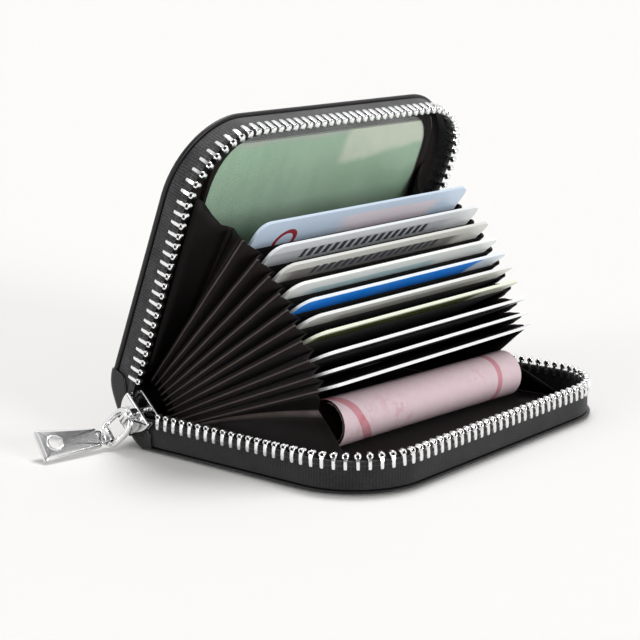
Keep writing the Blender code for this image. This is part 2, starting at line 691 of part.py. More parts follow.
def bail(holder):
    """The bridge on the slider's outer plate that the link swings in."""
    foot = -TAPE_Y - SLIDER_HALF_DEPTH + SLIDER_PLATE / 2
    under = -TAPE_Y - SLIDER_HALF_DEPTH - LINK_WIRE - 2 * BAIL_PLAY
    top = under - BAIL_BAR
    front, back = BAIL_FRONT_X, BAIL_BACK_X
    outline = [(back, foot), (back, top + BAIL_ROUND), (back + BAIL_ROUND, top), (front - BAIL_ROUND, top),
               (front, top + BAIL_ROUND), (front, foot), (front - BAIL_BAR, foot), (front - BAIL_BAR, under),
               (back + BAIL_BAR, under), (back + BAIL_BAR, foot)]
    return plate("slider_bail", outline, -BAIL_WIDTH / 2, BAIL_WIDTH / 2, holder)


def pull_link(holder, metal):
    """A closed ring of wire, narrow in the bail and wide at the cross bar."""
    head = rounded_corner((0.0, -LINK_HEAD_HALF), (0.0, 0.0), (LINK_SHOULDER_X, -LINK_SHOULDER_HALF), LINK_HEAD_ROUND)
    shoulder = [(LINK_SHOULDER_X, -LINK_SHOULDER_HALF)]
    foot = rounded_corner((LINK_LENGTH, -LINK_FOOT_HALF), (LINK_SHOULDER_X, -LINK_SHOULDER_HALF),
                          (LINK_LENGTH, 0.0), LINK_FOOT_ROUND)
    half = head + shoulder + foot
    path = half + [(x, -z) for x, z in half[::-1]]
    curve = bpy.data.curves.new("pull_link", "CURVE")
    curve.dimensions = "3D"
    curve.bevel_depth = LINK_WIRE / 2
    curve.bevel_resolution = 2
    spline = curve.splines.new("POLY")
    spline.points.add(len(path) - 1)
    for point, (x, z) in zip(spline.points, path):
        point.co = (x, 0.0, z, 1.0)
    spline.use_cyclic_u = True
    link = add_piece("pull_link", curve_to_mesh(curve), holder, metal)
    smooth(link)


def rounded_corner(corner, before, after, radius, steps=4):
    """Points of a corner cut off by a smooth curve that starts and ends a radius away from it."""
    at = Vector(corner)
    first = at + radius * (Vector(before) - at).normalized()
    last = at + radius * (Vector(after) - at).normalized()
    points = []
    for k in range(steps + 1):
        t = k / steps
        points.append(tuple((1 - t) ** 2 * first + 2 * t * (1 - t) * at + t ** 2 * last))
    return points


def pull_tab(holder, metal):
    """A flat tab that widens to its tip, with a rimmed hole there and a curled eye at the link."""
    chamfer_x = PULL_LENGTH - PULL_CHAMFER
    half = [(PULL_NECK_X, -PULL_NECK_HALF), (chamfer_x, -PULL_TIP_HALF),
            (PULL_LENGTH, -PULL_TIP_HALF + PULL_CHAMFER)]
    outline = half + [(x, -z) for x, z in half[::-1]]
    thickness = PULL_THICKNESS / 2
    tab = side_plate("pull_tab", outline, -thickness, thickness, holder, metal)
    round_edges(tab, PULL_BEVEL, segments=1)
    neck = block("pull_neck", (0.0, -thickness, -NECK_HALF), (PULL_NECK_X + PULL_NECK_LAP, thickness, NECK_HALF), holder)
    neck_inner = thickness - PULL_BEVEL
    neck.data.transform(Matrix.Diagonal((1.0, neck_inner / thickness, 1.0, 1.0)))
    combine(tab, neck, "UNION")
    eye = rod("pull_eye", EYE_RADIUS, EYE_HALF, holder)
    combine(tab, eye, "UNION")
    bore = rod("pull_eye_bore", LINK_WIRE / 2 + EYE_PLAY, EYE_HALF + OVERRUN, holder)
    combine(tab, bore, "DIFFERENCE")
    upright = Matrix.Rotation(math.radians(90.0), 4, "X")
    hole_place = Matrix.Translation((PULL_LENGTH - HOLE_FROM_TIP, 0.0, 0.0))
    rim = rod("pull_hole_rim", HOLE_RADIUS + HOLE_RIM, thickness + HOLE_RIM_RISE, holder)
    rim.data.transform(hole_place @ upright)
    combine(tab, rim, "UNION")
    hole = rod("pull_hole", HOLE_RADIUS, thickness + OVERRUN, holder)
    hole.data.transform(hole_place @ upright)
    combine(tab, hole, "DIFFERENCE")
    smooth(tab)


def pull(tray, metal):
    """Slider, link and tab, with the tab's lower corner just above the table."""
    slide = frame("slider_hinge", (SLIDER_PIVOT_X, 0.0, 0.0), -SLIDER_ANGLE, 0.0, tray)
    slider(slide, metal)
    bail_x = (BAIL_FRONT_X + BAIL_BACK_X) / 2
    bar_y = -TAPE_Y - SLIDER_HALF_DEPTH - BAIL_PLAY - LINK_WIRE / 2
    bar = frame("pull_place", (bail_x, bar_y, 0.0), 0.0, 0.0, slide)
    bar.rotation_euler.x = PULL_TWIST
    link = frame("link_hinge", (0.0, 0.0, 0.0), 0.0, math.pi + LINK_ANGLE, bar)
    pull_link(link, metal)
    # the tab's heading in the twisted plane is sought where its lower corner clears the table:
    # eye height - corner drop + length * (b sin(h) - a cos(h)) = gap, with h from the plane's -x to its -y
    a = math.sin(SLIDER_ANGLE)
    b = -math.cos(SLIDER_ANGLE) * math.sin(PULL_TWIST)
    eye_height = TRAY_DEPTH + bail_x * a + LINK_LENGTH * (b * math.sin(LINK_ANGLE) - a * math.cos(LINK_ANGLE))
    corner_drop = PULL_TIP_HALF * math.cos(SLIDER_ANGLE) * math.cos(PULL_TWIST)
    corner_drop += (PULL_THICKNESS / 2 - PULL_BEVEL) * math.sin(SLIDER_ANGLE)
    rise = (PULL_TABLE_GAP + corner_drop - eye_height) / PULL_LENGTH
    heading = math.asin(rise / math.hypot(a, b)) + math.atan2(a, b)
    tab = frame("tab_hinge", (LINK_LENGTH, 0.0, 0.0), 0.0, heading - LINK_ANGLE, link)
    pull_tab(tab, metal)


def main():
    clear_scene()
    leather = material("black leather", (0.012, 0.012, 0.013), 0.42)
    board = material("grey board", (0.25, 0.24, 0.22), 0.9)
    lining = material("brown-black lining", (0.022, 0.017, 0.016), 0.75)
    tape = material("dark grey tape", (0.028, 0.029, 0.032), 0.8)
    chrome = material("bright metal", (0.82, 0.82, 0.83), 0.16, metallic=1.0)
    film = material("clear film", (0.85, 0.87, 0.86), 0.12, alpha=0.25)
    paper = material("pink paper", (0.72, 0.42, 0.46), 0.7)
    green = material("green card", (0.28, 0.42, 0.32), 0.5)
    card_colours = [(0.86, 0.87, 0.88), (0.88, 0.88, 0.89), (0.86, 0.86, 0.87), (0.74, 0.78, 0.62),
                    (0.78, 0.79, 0.8), (0.03, 0.16, 0.55), (0.55, 0.68, 0.67), (0.56, 0.56, 0.53),
                    (0.7, 0.72, 0.74), (0.5, 0.64, 0.78)]

    hinge = frame("case_frame", (-CASE_WIDTH / 2, 0.0, TRAY_DEPTH))
    tray = frame("tray_frame", (0.0, 0.0, 0.0), 0.0, 0.0, hinge)
    lid = frame("cover_hinge", (0.0, 0.0, 0.0), -OPEN_ANGLE, 0.0, hinge)

    cover("lower_", -1, TRAY_DEPTH, tray, leather, board, lining)
    cover("lid_", 1, LID_DEPTH, lid, leather, board, lining)
    half_zip("lower_", -1, TRAY_DEPTH, 0.0, tray, tape, chrome, leather)
    half_zip("lid_", 1, LID_DEPTH, 0.5, lid, tape, chrome, leather)
    spine_leather(tray, leather)
    for number, holder in enumerate(sleeve_frames(tray), start=1):
        paint = material("card %d" % number, card_colours[number - 1], 0.45)
        sleeve(number, holder, lining, paint)
    pleats("near_pleats", -1, tray, lining)
    pleats("far_pleats", 1, tray, lining)
    window_pocket(lid, lining, film, green)
    note_roll(tray, paper)
    pull(tray, chrome)
    bpy.context.view_layer.update()


main()
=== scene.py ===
import math

import bpy
import numpy as np
from mathutils import Matrix, Vector


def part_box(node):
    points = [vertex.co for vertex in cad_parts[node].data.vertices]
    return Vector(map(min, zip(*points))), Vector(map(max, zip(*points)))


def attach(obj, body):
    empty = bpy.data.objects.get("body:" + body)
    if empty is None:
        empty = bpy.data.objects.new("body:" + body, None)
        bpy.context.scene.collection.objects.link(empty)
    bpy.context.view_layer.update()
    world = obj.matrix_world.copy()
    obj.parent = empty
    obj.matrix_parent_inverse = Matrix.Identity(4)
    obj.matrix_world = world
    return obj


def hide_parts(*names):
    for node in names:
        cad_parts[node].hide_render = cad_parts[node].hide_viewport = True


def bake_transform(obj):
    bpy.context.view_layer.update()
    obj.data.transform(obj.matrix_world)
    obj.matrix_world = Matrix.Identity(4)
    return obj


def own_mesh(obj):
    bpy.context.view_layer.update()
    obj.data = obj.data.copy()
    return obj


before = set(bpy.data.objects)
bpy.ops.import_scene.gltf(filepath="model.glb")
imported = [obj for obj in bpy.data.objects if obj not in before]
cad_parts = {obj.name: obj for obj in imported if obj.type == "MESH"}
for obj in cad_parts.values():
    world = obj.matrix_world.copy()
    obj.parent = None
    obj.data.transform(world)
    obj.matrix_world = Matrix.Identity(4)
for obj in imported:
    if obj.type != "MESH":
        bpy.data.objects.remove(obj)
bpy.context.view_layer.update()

rng = np.random.default_rng(7)

# Sizes in metres. x runs from the spine to the mouth, y along the spine, z up from the zip's middle plane.
case = {
    "halfLength": 0.055, "width": 0.07598, "corner": 0.02,
    "hinge": (-0.03799, 0.0102), "openAngle": math.radians(68.0),
    "trayDepth": 0.0102, "lidDepth": 0.00926, "coverStart": 0.0038,
}
sleeves = {
    "foldX": 0.0025, "foldZ": -0.00691, "pitch": 0.00126, "depth": 0.00118,
    "turns": (19.8, 2.4, 2.75, 3.8, 2.9, 2.9, 3.3, 3.8, 4.0, 5.05),
}
halves = {  # the side of the zip that each half is on, its depth, how far it is turned, and its body
    "lower": (-1, case["trayDepth"], 0.0, "tray"),
    "lid": (1, case["lidDepth"], case["openAngle"], "lid"),
}


def outOf(points, angle, origin=None):
    # turns local x, y, z by the angle about the y axis and moves them to the origin (x, z)
    originX, originZ = origin or case["hinge"]
    p = np.asarray(points, float)
    x, y, z = p[..., 0], p[..., 1], p[..., 2]
    return np.stack([originX + x * math.cos(angle) - z * math.sin(angle), y,
                     originZ + x * math.sin(angle) + z * math.cos(angle)], -1)


def directions(angle):
    # x and z of the line along a leaf that is opened by the angle, and of the line square to it
    along = np.array([math.cos(angle), math.sin(angle)])
    return along, np.array([-along[1], along[0]])


def spread(*arrays):
    # the coordinates of a grid, each given along its rows or columns or over all of it
    return np.stack(np.broadcast_arrays(*arrays), -1)


def lengthAlong(points):
    # the distance to each point of a chain from its first
    return np.concatenate([[0], np.cumsum(np.linalg.norm(np.diff(points, axis=0), axis=1))])


sideways = [0, 2, 1]  # takes a grid's points with y and z in each other's place


def ringsGrid(rings):
    # a grid from rings, each a flat outline for x and y with a level for z
    return np.stack([np.column_stack([flat, np.full(len(flat), level)]) for flat, level in rings])


def linked(name, data):
    made = bpy.data.objects.new(name, data)
    bpy.context.scene.collection.objects.link(made)
    return made


def meshFrom(name, points, faces, finish, uv=None, sharp=40):
    mesh = bpy.data.meshes.new(name)
    mesh.from_pydata(points.reshape(-1, 3).tolist(), [], faces)
    if uv is not None:
        layer = mesh.uv_layers.new(name="UVMap")
        corners = np.empty(len(mesh.loops), dtype=np.int32)
        mesh.loops.foreach_get("vertex_index", corners)
        layer.data.foreach_set("uv", uv.reshape(-1, 2)[corners].astype(np.float32).ravel())
    mesh.materials.append(finish)
    mesh.validate()
    mesh.shade_smooth()
    mesh.set_sharp_from_angle(angle=math.radians(sharp))
    return linked(name, mesh)


def gridFaces(rows, columns, wrapRows=False, wrapColumns=False, caps=False, flip=False):
    # quads between neighbouring rows and columns of a grid; caps wrap its columns and close its first and
    # last row
    i = np.arange(rows if wrapRows else rows - 1)
    j = np.arange(columns if wrapColumns or caps else columns - 1)
    a, b = np.meshgrid(i, j, indexing="ij")
    c, d = (a + 1) % rows, (b + 1) % columns
    quads = np.stack([a * columns + b, c * columns + b, c * columns + d, a * columns + d], -1)
    faces = quads.reshape(-1, 4).tolist()
    if caps:
        faces += [list(range(columns)), list(range((rows - 1) * columns, rows * columns))[::-1]]
    return [face[::-1] for face in faces] if flip else faces


def gridPiece(name, points, finish, uv=None, sharp=40, **how):
    return meshFrom(name, points, gridFaces(*points.shape[:2], **how), finish, uv, sharp)


def settle(piece, body, node=None):
    # the body that carries the piece, and the CAD node that it stands for, which is hidden
    if node:
        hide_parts(node)
    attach(piece, body)


def wallOn(piece, thickness, offset):
    wall = piece.modifiers.new("wall", "SOLIDIFY")
    wall.thickness, wall.offset = thickness, offset


def blendAcross(piece):
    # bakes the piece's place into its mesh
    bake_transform(piece)


def casePath(inset, start, arcSteps=24, runStep=0.0015):
    # the three zipped sides, moved in by inset: places, outward directions and distances along
    half, radius = case["halfLength"] - inset, case["corner"] - inset
    cx, cy = case["width"] - case["corner"], case["halfLength"] - case["corner"]
    run = np.linspace(start, cx, int((cx - case["coverStart"]) / runStep))[:-1]
    turn = np.radians(np.linspace(-90, 0, arcSteps))
    front = np.linspace(-cy, cy, max(3, int(2 * cy / runStep)))[1:-1]
    near = np.stack([run, np.full_like(run, -half), 0 * run, 0 * run - 1], 1)
    bend = np.stack([cx + radius * np.cos(turn), -cy + radius * np.sin(turn), np.cos(turn), np.sin(turn)], 1)
    side = np.stack([np.full_like(front, cx + radius), front, 0 * front + 1, 0 * front], 1)
    far = (bend * [1, -1, 1, -1])[::-1]
    back = (near * [1, -1, 1, -1])[::-1]
    path = np.concatenate([near, bend, side, far, back])
    return path[:, :2], path[:, 2:], lengthAlong(path[:, :2])


def alongPath(distances, inset, start):
    # places and outward directions at given distances along the zip
    place, out, length = casePath(inset, start)
    p = np.stack([np.interp(distances, length, place[:, k]) for k in (0, 1)], 1)
    n = np.stack([np.interp(distances, length, out[:, k]) for k in (0, 1)], 1)
    return p, n / np.linalg.norm(n, axis=1, keepdims=True)


def repeatedOn(base, place, out):
    # copies of a small shape in (along, outward, up) at each place: centre + along*t + outward*n + up*z
    tangent = np.stack([-out[:, 1], out[:, 0]], 1)
    xy = place[:, None] + base[..., 0:1] * tangent[:, None] + base[..., 1:2] * out[:, None]
    return np.concatenate([xy, np.broadcast_to(base[..., 2:3], xy.shape[:2] + (1,))], -1)


def repeatedFaces(faces, size, count):
    # the faces of a shape of so many points, for each of its copies
    return [[v + size * k for v in face] for k in range(count) for face in faces]


def smoothstep(t):
    t = np.clip(t, 0, 1)
    return t * t * (3 - 2 * t)


def joined(operation, swapped=False):
    # a method that joins a socket and another value with one Math node
    return lambda self, other: self.sums(operation, *((other, self) if swapped else (self, other)))


class Wire:  # one socket of a shader, so that sums on it read as Python
    def __init__(self, tree, socket=None):
        self.tree, self.socket = tree, socket

    def node(self, kind, inputs=None, out=0, **settings):
        made = self.tree.nodes.new(kind)
        for key, value in settings.items():
            setattr(made, key, value)
        for key, value in (inputs or {}).items():
            if isinstance(value, Wire):
                self.tree.links.new(value.socket, made.inputs[key])
            else:
                made.inputs[key].default_value = value
        return Wire(self.tree, made.outputs[out])

    def sums(self, operation, *values):
        return self.node("ShaderNodeMath", dict(enumerate(values)), operation=operation)

    def of(self, operation, *values):
        return self.sums(operation, self, *values)

    __add__ = __radd__ = joined("ADD")
    __mul__ = __rmul__ = joined("MULTIPLY")
    __sub__ = joined("SUBTRACT")
    __rsub__ = joined("SUBTRACT", swapped=True)
    __gt__ = joined("GREATER_THAN")
    __lt__ = joined("LESS_THAN")

    def tint(self, first, second):
        # self is the share of the second colour
        return self.node("ShaderNodeMix", {0: self, 6: first, 7: second}, out=2, data_type="RGBA")


def rgb(red, green, blue):
    # a colour as the eye names it, 0 to 255, turned into the shader's linear scale
    share = np.array([red, green, blue]) / 255
    linear = np.where(share <= 0.04045, share / 12.92, ((share + 0.055) / 1.055) ** 2.4)
    return (*(float(v) for v in linear), 1.0)


sockets = {
    "colour": "Base Color", "roughness": "Roughness", "metallic": "Metallic", "alpha": "Alpha",
    "specular": "Specular IOR Level", "sheen": "Sheen Weight", "coat": "Coat Weight",
    "coatRoughness": "Coat Roughness", "bump": "Normal",
}


def newFinish(name, colour, roughness, **fixed):
    finish = bpy.data.materials.new(name)
    finish.use_nodes = True
    shader = finish.node_tree.nodes["Principled BSDF"]
    for key, value in {"colour": colour, "roughness": roughness, **fixed}.items():
        shader.inputs[sockets[key]].default_value = value
    return finish, Wire(finish.node_tree)


def feed(finish, tree, **wires):
    shader = finish.node_tree.nodes["Principled BSDF"]
    for key, wire in wires.items():
        if key == "bump":
            height, distance = wire
            wire = tree.node("ShaderNodeBump", {"Strength": 1.0, "Distance": distance, "Height": height})
        tree.tree.links.new(wire.socket, shader.inputs[sockets[key]])
    return finish


def objectPoint(tree):
    return tree.node("ShaderNodeTexCoord", out="Object")


def uvPoint(tree):
    return tree.node("ShaderNodeTexCoord", out="UV")


def noise(tree, where, scale, detail=3.0, roughness=0.55):
    inputs = {"Vector": where, "Scale": scale, "Detail": detail, "Roughness": roughness}
    return tree.node("ShaderNodeTexNoise", inputs)


def ramp(value, low, high):
    # 0 below low, 1 above high and a straight line between
    return value.node("ShaderNodeMapRange", {0: value, 1: low, 2: high})


def parts(tree, vector):
    split = tree.node("ShaderNodeSeparateXYZ", {0: vector})
    node = split.socket.node
    return [Wire(tree.tree, node.outputs[k]) for k in range(3)]


def scaled(colour, times):
    return (*(min(1.0, times * c) for c in colour[:3]), 1.0)


def leatherFinish(name, colour, gloss, grain, deep=0.00006):
    # pebbled grain from cell borders, broken up by a slow noise that also varies the gloss
    finish, tree = newFinish(name, colour, gloss, specular=0.42)
    where = objectPoint(tree)
    cells = tree.node("ShaderNodeTexVoronoi", {"Vector": where, "Scale": grain}, feature="SMOOTH_F1")
    slow = noise(tree, where, 90.0, 4.0)
    fine = noise(tree, where, grain * 3.5, 2.0)
    height = cells * 0.7 + fine * 0.3
    shade = (slow * 0.6 + cells * 0.5).tint(colour, scaled(colour, 1.7))
    return feed(finish, tree, colour=shade, roughness=gloss - 0.06 + slow * 0.14, bump=(height, deep))


def clothFinish(name, dark, light, thread=0.00042, bump=0.00003):
    # fine plain weave: two crossed sine waves in the cloth's own place, with a slow change of shade
    finish, tree = newFinish(name, dark, 0.8, sheen=0.04, specular=0.16)
    x, y, z = parts(tree, objectPoint(tree))
    turn = 2 * math.pi / thread
    weave = (y * turn).of("SINE") * ((x + z) * turn).of("SINE") * 0.5 + 0.5
    slow = noise(tree, objectPoint(tree), 60.0, 3.0)
    shade = (weave * 0.3 + slow * 0.6).tint(dark, light)
    return feed(finish, tree, colour=shade, roughness=0.8 + (slow - 0.5) * 0.15, bump=(weave, bump))


def tapeFinish(name, dark, light):
    # a zip tape: fine mottled grain, with faint ribs across it in its own length and height
    finish, tree = newFinish(name, dark, 0.78, specular=0.22, sheen=0.3)
    where = uvPoint(tree)
    u, v, _ = parts(tree, where)
    ribs = (u * 8200.0 + noise(tree, where, 900.0) * 5.0).of("SINE") * 0.5 + 0.5
    grain = noise(tree, where, 1900.0, 4.0, 0.75)
    slow = noise(tree, where, 160.0, 3.0)
    mottle = (grain - 0.34) * 1.5 + (slow - 0.5) * 0.8 + (ribs - 0.5) * 0.3
    return feed(finish, tree, colour=mottle.tint(dark, light), roughness=0.7 + grain * 0.16,
                bump=(ribs * 0.25 + grain, 0.00006))


def metalFinish(name, colour, roughness):
    # plated metal: faint wear that dulls it in places
    finish, tree = newFinish(name, colour, roughness, metallic=1.0)
    wear = noise(tree, objectPoint(tree), 500.0, 4.0)
    shade = wear.tint(colour, scaled(colour, 0.88))
    return feed(finish, tree, roughness=roughness + wear * 0.1, colour=shade, bump=(wear, 0.000005))


def toothFinish(dark):
    # plated metal with painted shade in the hollow of each tooth's head, where the piece's own u is 0
    finish, tree = newFinish("zip teeth", chromeColour, 0.16, metallic=1.0)
    clearOfPaintedShade, _, _ = parts(tree, uvPoint(tree))
    wear = noise(tree, objectPoint(tree), 700.0, 3.0)
    return feed(finish, tree, colour=clearOfPaintedShade.tint(dark, chromeColour), roughness=wear * 0.1 + 0.12)


def crestHighlightFinish(dark, light):
    # folded cloth with a painted highlight along its crest, where the piece's own v is near a half
    finish, tree = newFinish("folded cloth with painted crest highlight", dark, 0.65, specular=0.2)
    _, v, _ = parts(tree, uvPoint(tree))
    slow = noise(tree, objectPoint(tree), 240.0, 3.0)
    paintedCrestHighlight = 1 - ramp((v - 0.47).of("ABSOLUTE"), 0.03, 0.15)
    shade = (paintedCrestHighlight * (slow * 0.7 + 0.45)).tint(dark, light)
    return feed(finish, tree, colour=shade, roughness=0.58 + slow * 0.14)


def sleeveFrame(number):
    # fold place and angle of a sleeve, counted from 1, from the chain of folds
    x, z, angle = sleeves["foldX"], sleeves["foldZ"], 0.0
    for k in range(number):
        angle += math.radians(sleeves["turns"][k])
        if k == number - 1:
            break
        x, z = x - sleeves["pitch"] * math.sin(angle), z + sleeves["pitch"] * math.cos(angle)
    hx, hz = case["hinge"]
    return (hx + x, hz + z), angle


def cardPoint(tree, origin, angle):
    # the card's own place: x along its short side, y along its long side
    inputs = {0: objectPoint(tree), "Location": (origin[0], 0.0, origin[1]), "Rotation": (0.0, -angle, 0.0)}
    where = tree.node("ShaderNodeMapping", inputs, vector_type="TEXTURE")
    return where, parts(tree, where)


def between(value, low, high):
    return (value > low) * (value < high)


# base, print, how strong it is, its two ends from the fold and its two ends along y: all generic; for cards
# 1 to 3 (a dark band near the edge) and card 5 (a grey patch) the print is painted shade
cardLooks = {
    1: ((248, 249, 250), (52, 52, 55), 1.0, (0.044, 0.0578), (-0.05, 0.05)),
    2: ((248, 249, 250), (52, 52, 55), 1.0, (0.044, 0.0578), (-0.05, 0.05)),
    3: ((247, 248, 248), (58, 58, 60), 1.0, (0.044, 0.0578), (-0.05, 0.05)),
    4: ((240, 243, 222), (84, 92, 30), 1.0, (0.03, 0.0574), (-0.038, 0.034)),
    5: ((240, 240, 238), (176, 172, 168), 0.7, (0.03, 0.056), (-0.025, 0.043)),
    6: ((236, 243, 250), (20, 150, 250), 1.0, (0.03, 0.059), (-0.046, 0.037)),
    7: ((250, 251, 246), (182, 216, 222), 0.8, (0.03, 0.055), (-0.03, 0.024)),
    8: ((222, 222, 216), (118, 112, 112), 0.9, (0.03, 0.0565), (-0.036, 0.04)),
    9: ((232, 235, 238), (196, 200, 204), 0.8, (0.03, 0.057), (-0.04, 0.04)),
    10: ((206, 222, 238), (240, 226, 230), 0.9, (0.03, 0.058), (-0.006, 0.04)),
}
cardMarks = {
    "softEnd": 0.005, "sharpEnd": 0.0012, "face": 0.00036, "blocksPerMetre": 322.6,
    "blocksAcross": (0.0523, 0.0556), "blocksAlong": (-0.03, 0.022), "blockInk": (72, 74, 82),
    "ringCentre": (0.0518, -0.03), "ringRadii": (0.0028, 0.0042), "ringInk": (158, 46, 56),
}


def cardFinish(number):
    # a plain card with one patch of print that ends softly, on both faces, and the marks of its number; on
    # cards 1 to 3 and 5 the patch is painted shade, not print
    base, inkAndPaintedShade, strength, across, (first, last) = cardLooks[number]
    finish, tree = newFinish(f"card {number}", rgb(*base), 0.34, coat=0.25, coatRoughness=0.18)
    where, (x, y, z) = cardPoint(tree, *sleeveFrame(number))
    soft = noise(tree, where, 140.0, 3.0)
    wave = noise(tree, where, 45.0, 2.0)
    wavy = y + wave * 0.012
    end = cardMarks["sharpEnd" if number == 6 else "softEnd"]
    lengthways = ramp(wavy, first, first + end) * (1 - ramp(wavy, last - end, last))
    height = z * -1.0 if number == 6 else z.of("ABSOLUTE")  # the blue card has a white back
    # this mask is print on most cards and painted shade on cards 1 to 3 and 5
    printAndPaintedShade = between(x + wave * 0.002, *across) * lengthways * (height > cardMarks["face"])
    colour = (printAndPaintedShade * (soft * 0.2 + 0.88) * strength).tint(rgb(*base), rgb(*inkAndPaintedShade))
    bumps = soft * 0.15
    if number in (8, 9):  # a row of raised blank blocks, where such cards are embossed
        cell = (y * cardMarks["blocksPerMetre"]).of("FRACT")
        row = between(x, *cardMarks["blocksAcross"]) * between(cell, 0.2, 0.8)
        row = row * between(y, *cardMarks["blocksAlong"])
        colour = row.tint(colour, rgb(*cardMarks["blockInk"]))
        bumps = bumps + row
    if number == 10:  # a plain ring
        ringX, ringY = cardMarks["ringCentre"]
        acrossRing, alongRing = x - ringX, y - ringY
        ring = (acrossRing * acrossRing + alongRing * alongRing).of("SQRT")
        colour = between(ring, *cardMarks["ringRadii"]).tint(colour, rgb(*cardMarks["ringInk"]))
    return feed(finish, tree, colour=colour, roughness=0.3 + soft * 0.12, bump=(bumps, 0.00008))


leather = leatherFinish("black leather", rgb(15, 15, 16), 0.4, 1300.0)
spineLeather = leatherFinish("spine leather", rgb(13, 13, 14), 0.27, 1100.0, 0.00003)
chromeColour = (0.88, 0.88, 0.885, 1.0)
cloth = clothFinish("dark brown cloth", rgb(17, 13, 12), rgb(30, 24, 22))
pleatCloth = clothFinish("pleated cloth", rgb(19, 14, 13), rgb(34, 27, 25), bump=0.00002)
# the lighter colour is a painted highlight along the crests of the sleeve ridges and the outermost pleats'
# creases
crestHighlightCloth = crestHighlightFinish(rgb(18, 14, 13), rgb(96, 86, 83))
tapeCloth = tapeFinish("dark grey zip tape", rgb(20, 20, 22), rgb(56, 56, 58))
# the lid's tape is the same tape as the lower one: its lighter colours are painted light, for the light that
# falls more on the lid
lidTapePaintedLighter = tapeFinish("lid zip tape painted lighter", rgb(36, 36, 38), rgb(106, 106, 108))
chrome = metalFinish("plated metal", chromeColour, 0.12)
# the dark colour is painted shade for the hollows of the teeth heads
toothMetal = toothFinish(rgb(44, 40, 37))
boardPaper = clothFinish("grey board", rgb(110, 106, 100), rgb(132, 128, 120), thread=0.0011)
thread = clothFinish("black thread", rgb(16, 16, 17), rgb(36, 36, 38), thread=0.0003)


zipLook = {
    "inset": 0.001, "pitch": 0.00275, "start": 0.0076, "leanDegrees": 1.6,
    "tapeHalf": 0.0003, "tapeStart": 0.0006, "tapeFoot": 0.0015, "beadRadius": 0.0007, "beadHeight": -0.0026,
    "bows": ((170.0, 0.0, 0.00008), (61.0, 1.3, 0.0001)),
}
toothLook = {
    "headRadius": (0.04, 0.26, 0.36, 0.46, 0.6, 0.76, 0.86), "headDrop": 0.00076, "hollow": 0.0004,
    "headOutward": (0.4, 0.44, 0.56, 0.7, 0.78, 0.72, 0.5), "legUp": (-3.95, -3.88, -3.6, -2.6, -1.5, -1.0),
    "legAlong": (0.28, 0.42, 0.48, 0.5, 0.5, 0.46), "legThick": (0.6, 0.84, 0.96, 1.0, 0.9, 0.72),
}  # the rows of numbers are in millimetres


def tapePiece(which):
    # a wall with a bead on its edge, carried along the zipped sides, that bows out by two slow waves
    side, depth, angle, body = halves[which]
    half, radius, height = zipLook["tapeHalf"], zipLook["beadRadius"], zipLook["beadHeight"]
    foot = zipLook["tapeFoot"] - depth
    turn = np.radians(np.linspace(-62, 242, 13))
    bead = np.stack([radius * np.cos(turn), height + radius * np.sin(turn)], 1)
    levels = np.linspace(foot, bead[0, 1] - 0.0002, 7)
    outer = np.stack([np.full(7, half), levels], 1)
    section = np.concatenate([outer, bead, outer[::-1] * [-1, 1]])
    place, out, length = casePath(zipLook["inset"], zipLook["tapeStart"])
    share = np.clip((section[:, 1] - foot) / (height - foot), 0, 1)
    bow = sum(np.sin(length * rate + start) * size for rate, start, size in zipLook["bows"])
    bow = bow[:, None] * np.sin(np.pi * share)[None, :] * (section[:, 1] < height - radius)
    xy = place[:, None] + out[:, None] * (section[None, :, 0] + bow)[..., None]
    z = np.broadcast_to(-side * section[None, :, 1:2], xy.shape[:2] + (1,))
    points = outOf(np.concatenate([xy, z], -1), angle)
    uv = spread(length[:, None], lengthAlong(section)[None, :])
    # the lid's tape takes the lighter copy, with painted light
    finish = tapeCloth if side < 0 else lidTapePaintedLighter
    piece = gridPiece(f"{which}Tape", points, finish, uv, caps=True, flip=side > 0)
    settle(piece, body, f"{which}_zip_tape")


def toothShape():
    # a round head with a hollow in both faces, on a thicker leg that clasps the tape: the head is a
    # turned profile (radius, outward) about the outward axis, the leg is rings up z
    turn = np.radians(np.arange(12) * 30.0)
    radius, outward, up, along, thick = (np.array(toothLook[key])[:, None] / 1000 for key in (
        "headRadius", "headOutward", "legUp", "legAlong", "legThick"))
    radius, outward = np.concatenate([radius, radius[::-1]]), np.concatenate([outward, -outward[::-1]])
    head = spread(radius * np.sin(turn), outward, radius * np.cos(turn) - toothLook["headDrop"])
    ring = np.array([(-1, -0.8), (-0.75, -1), (0.75, -1), (1, -0.8)])
    ring = np.concatenate([ring, -ring])
    leg = spread(along * ring[:, 0], thick * ring[:, 1], up)
    faces = gridFaces(*head.shape[:2], caps=True)
    legFaces = gridFaces(*leg.shape[:2], caps=True, flip=True)
    faces += [[v + head[..., 0].size for v in face] for face in legFaces]
    # the points in each head's hollow get u 0, where the finish paints shade
    hollow = np.repeat(radius[:, 0] <= toothLook["hollow"], len(turn))
    clearOfPaintedShade = np.concatenate([1.0 - hollow, np.ones(leg[..., 0].size)])
    return np.concatenate([head.reshape(-1, 3), leg.reshape(-1, 3)]), faces, clearOfPaintedShade


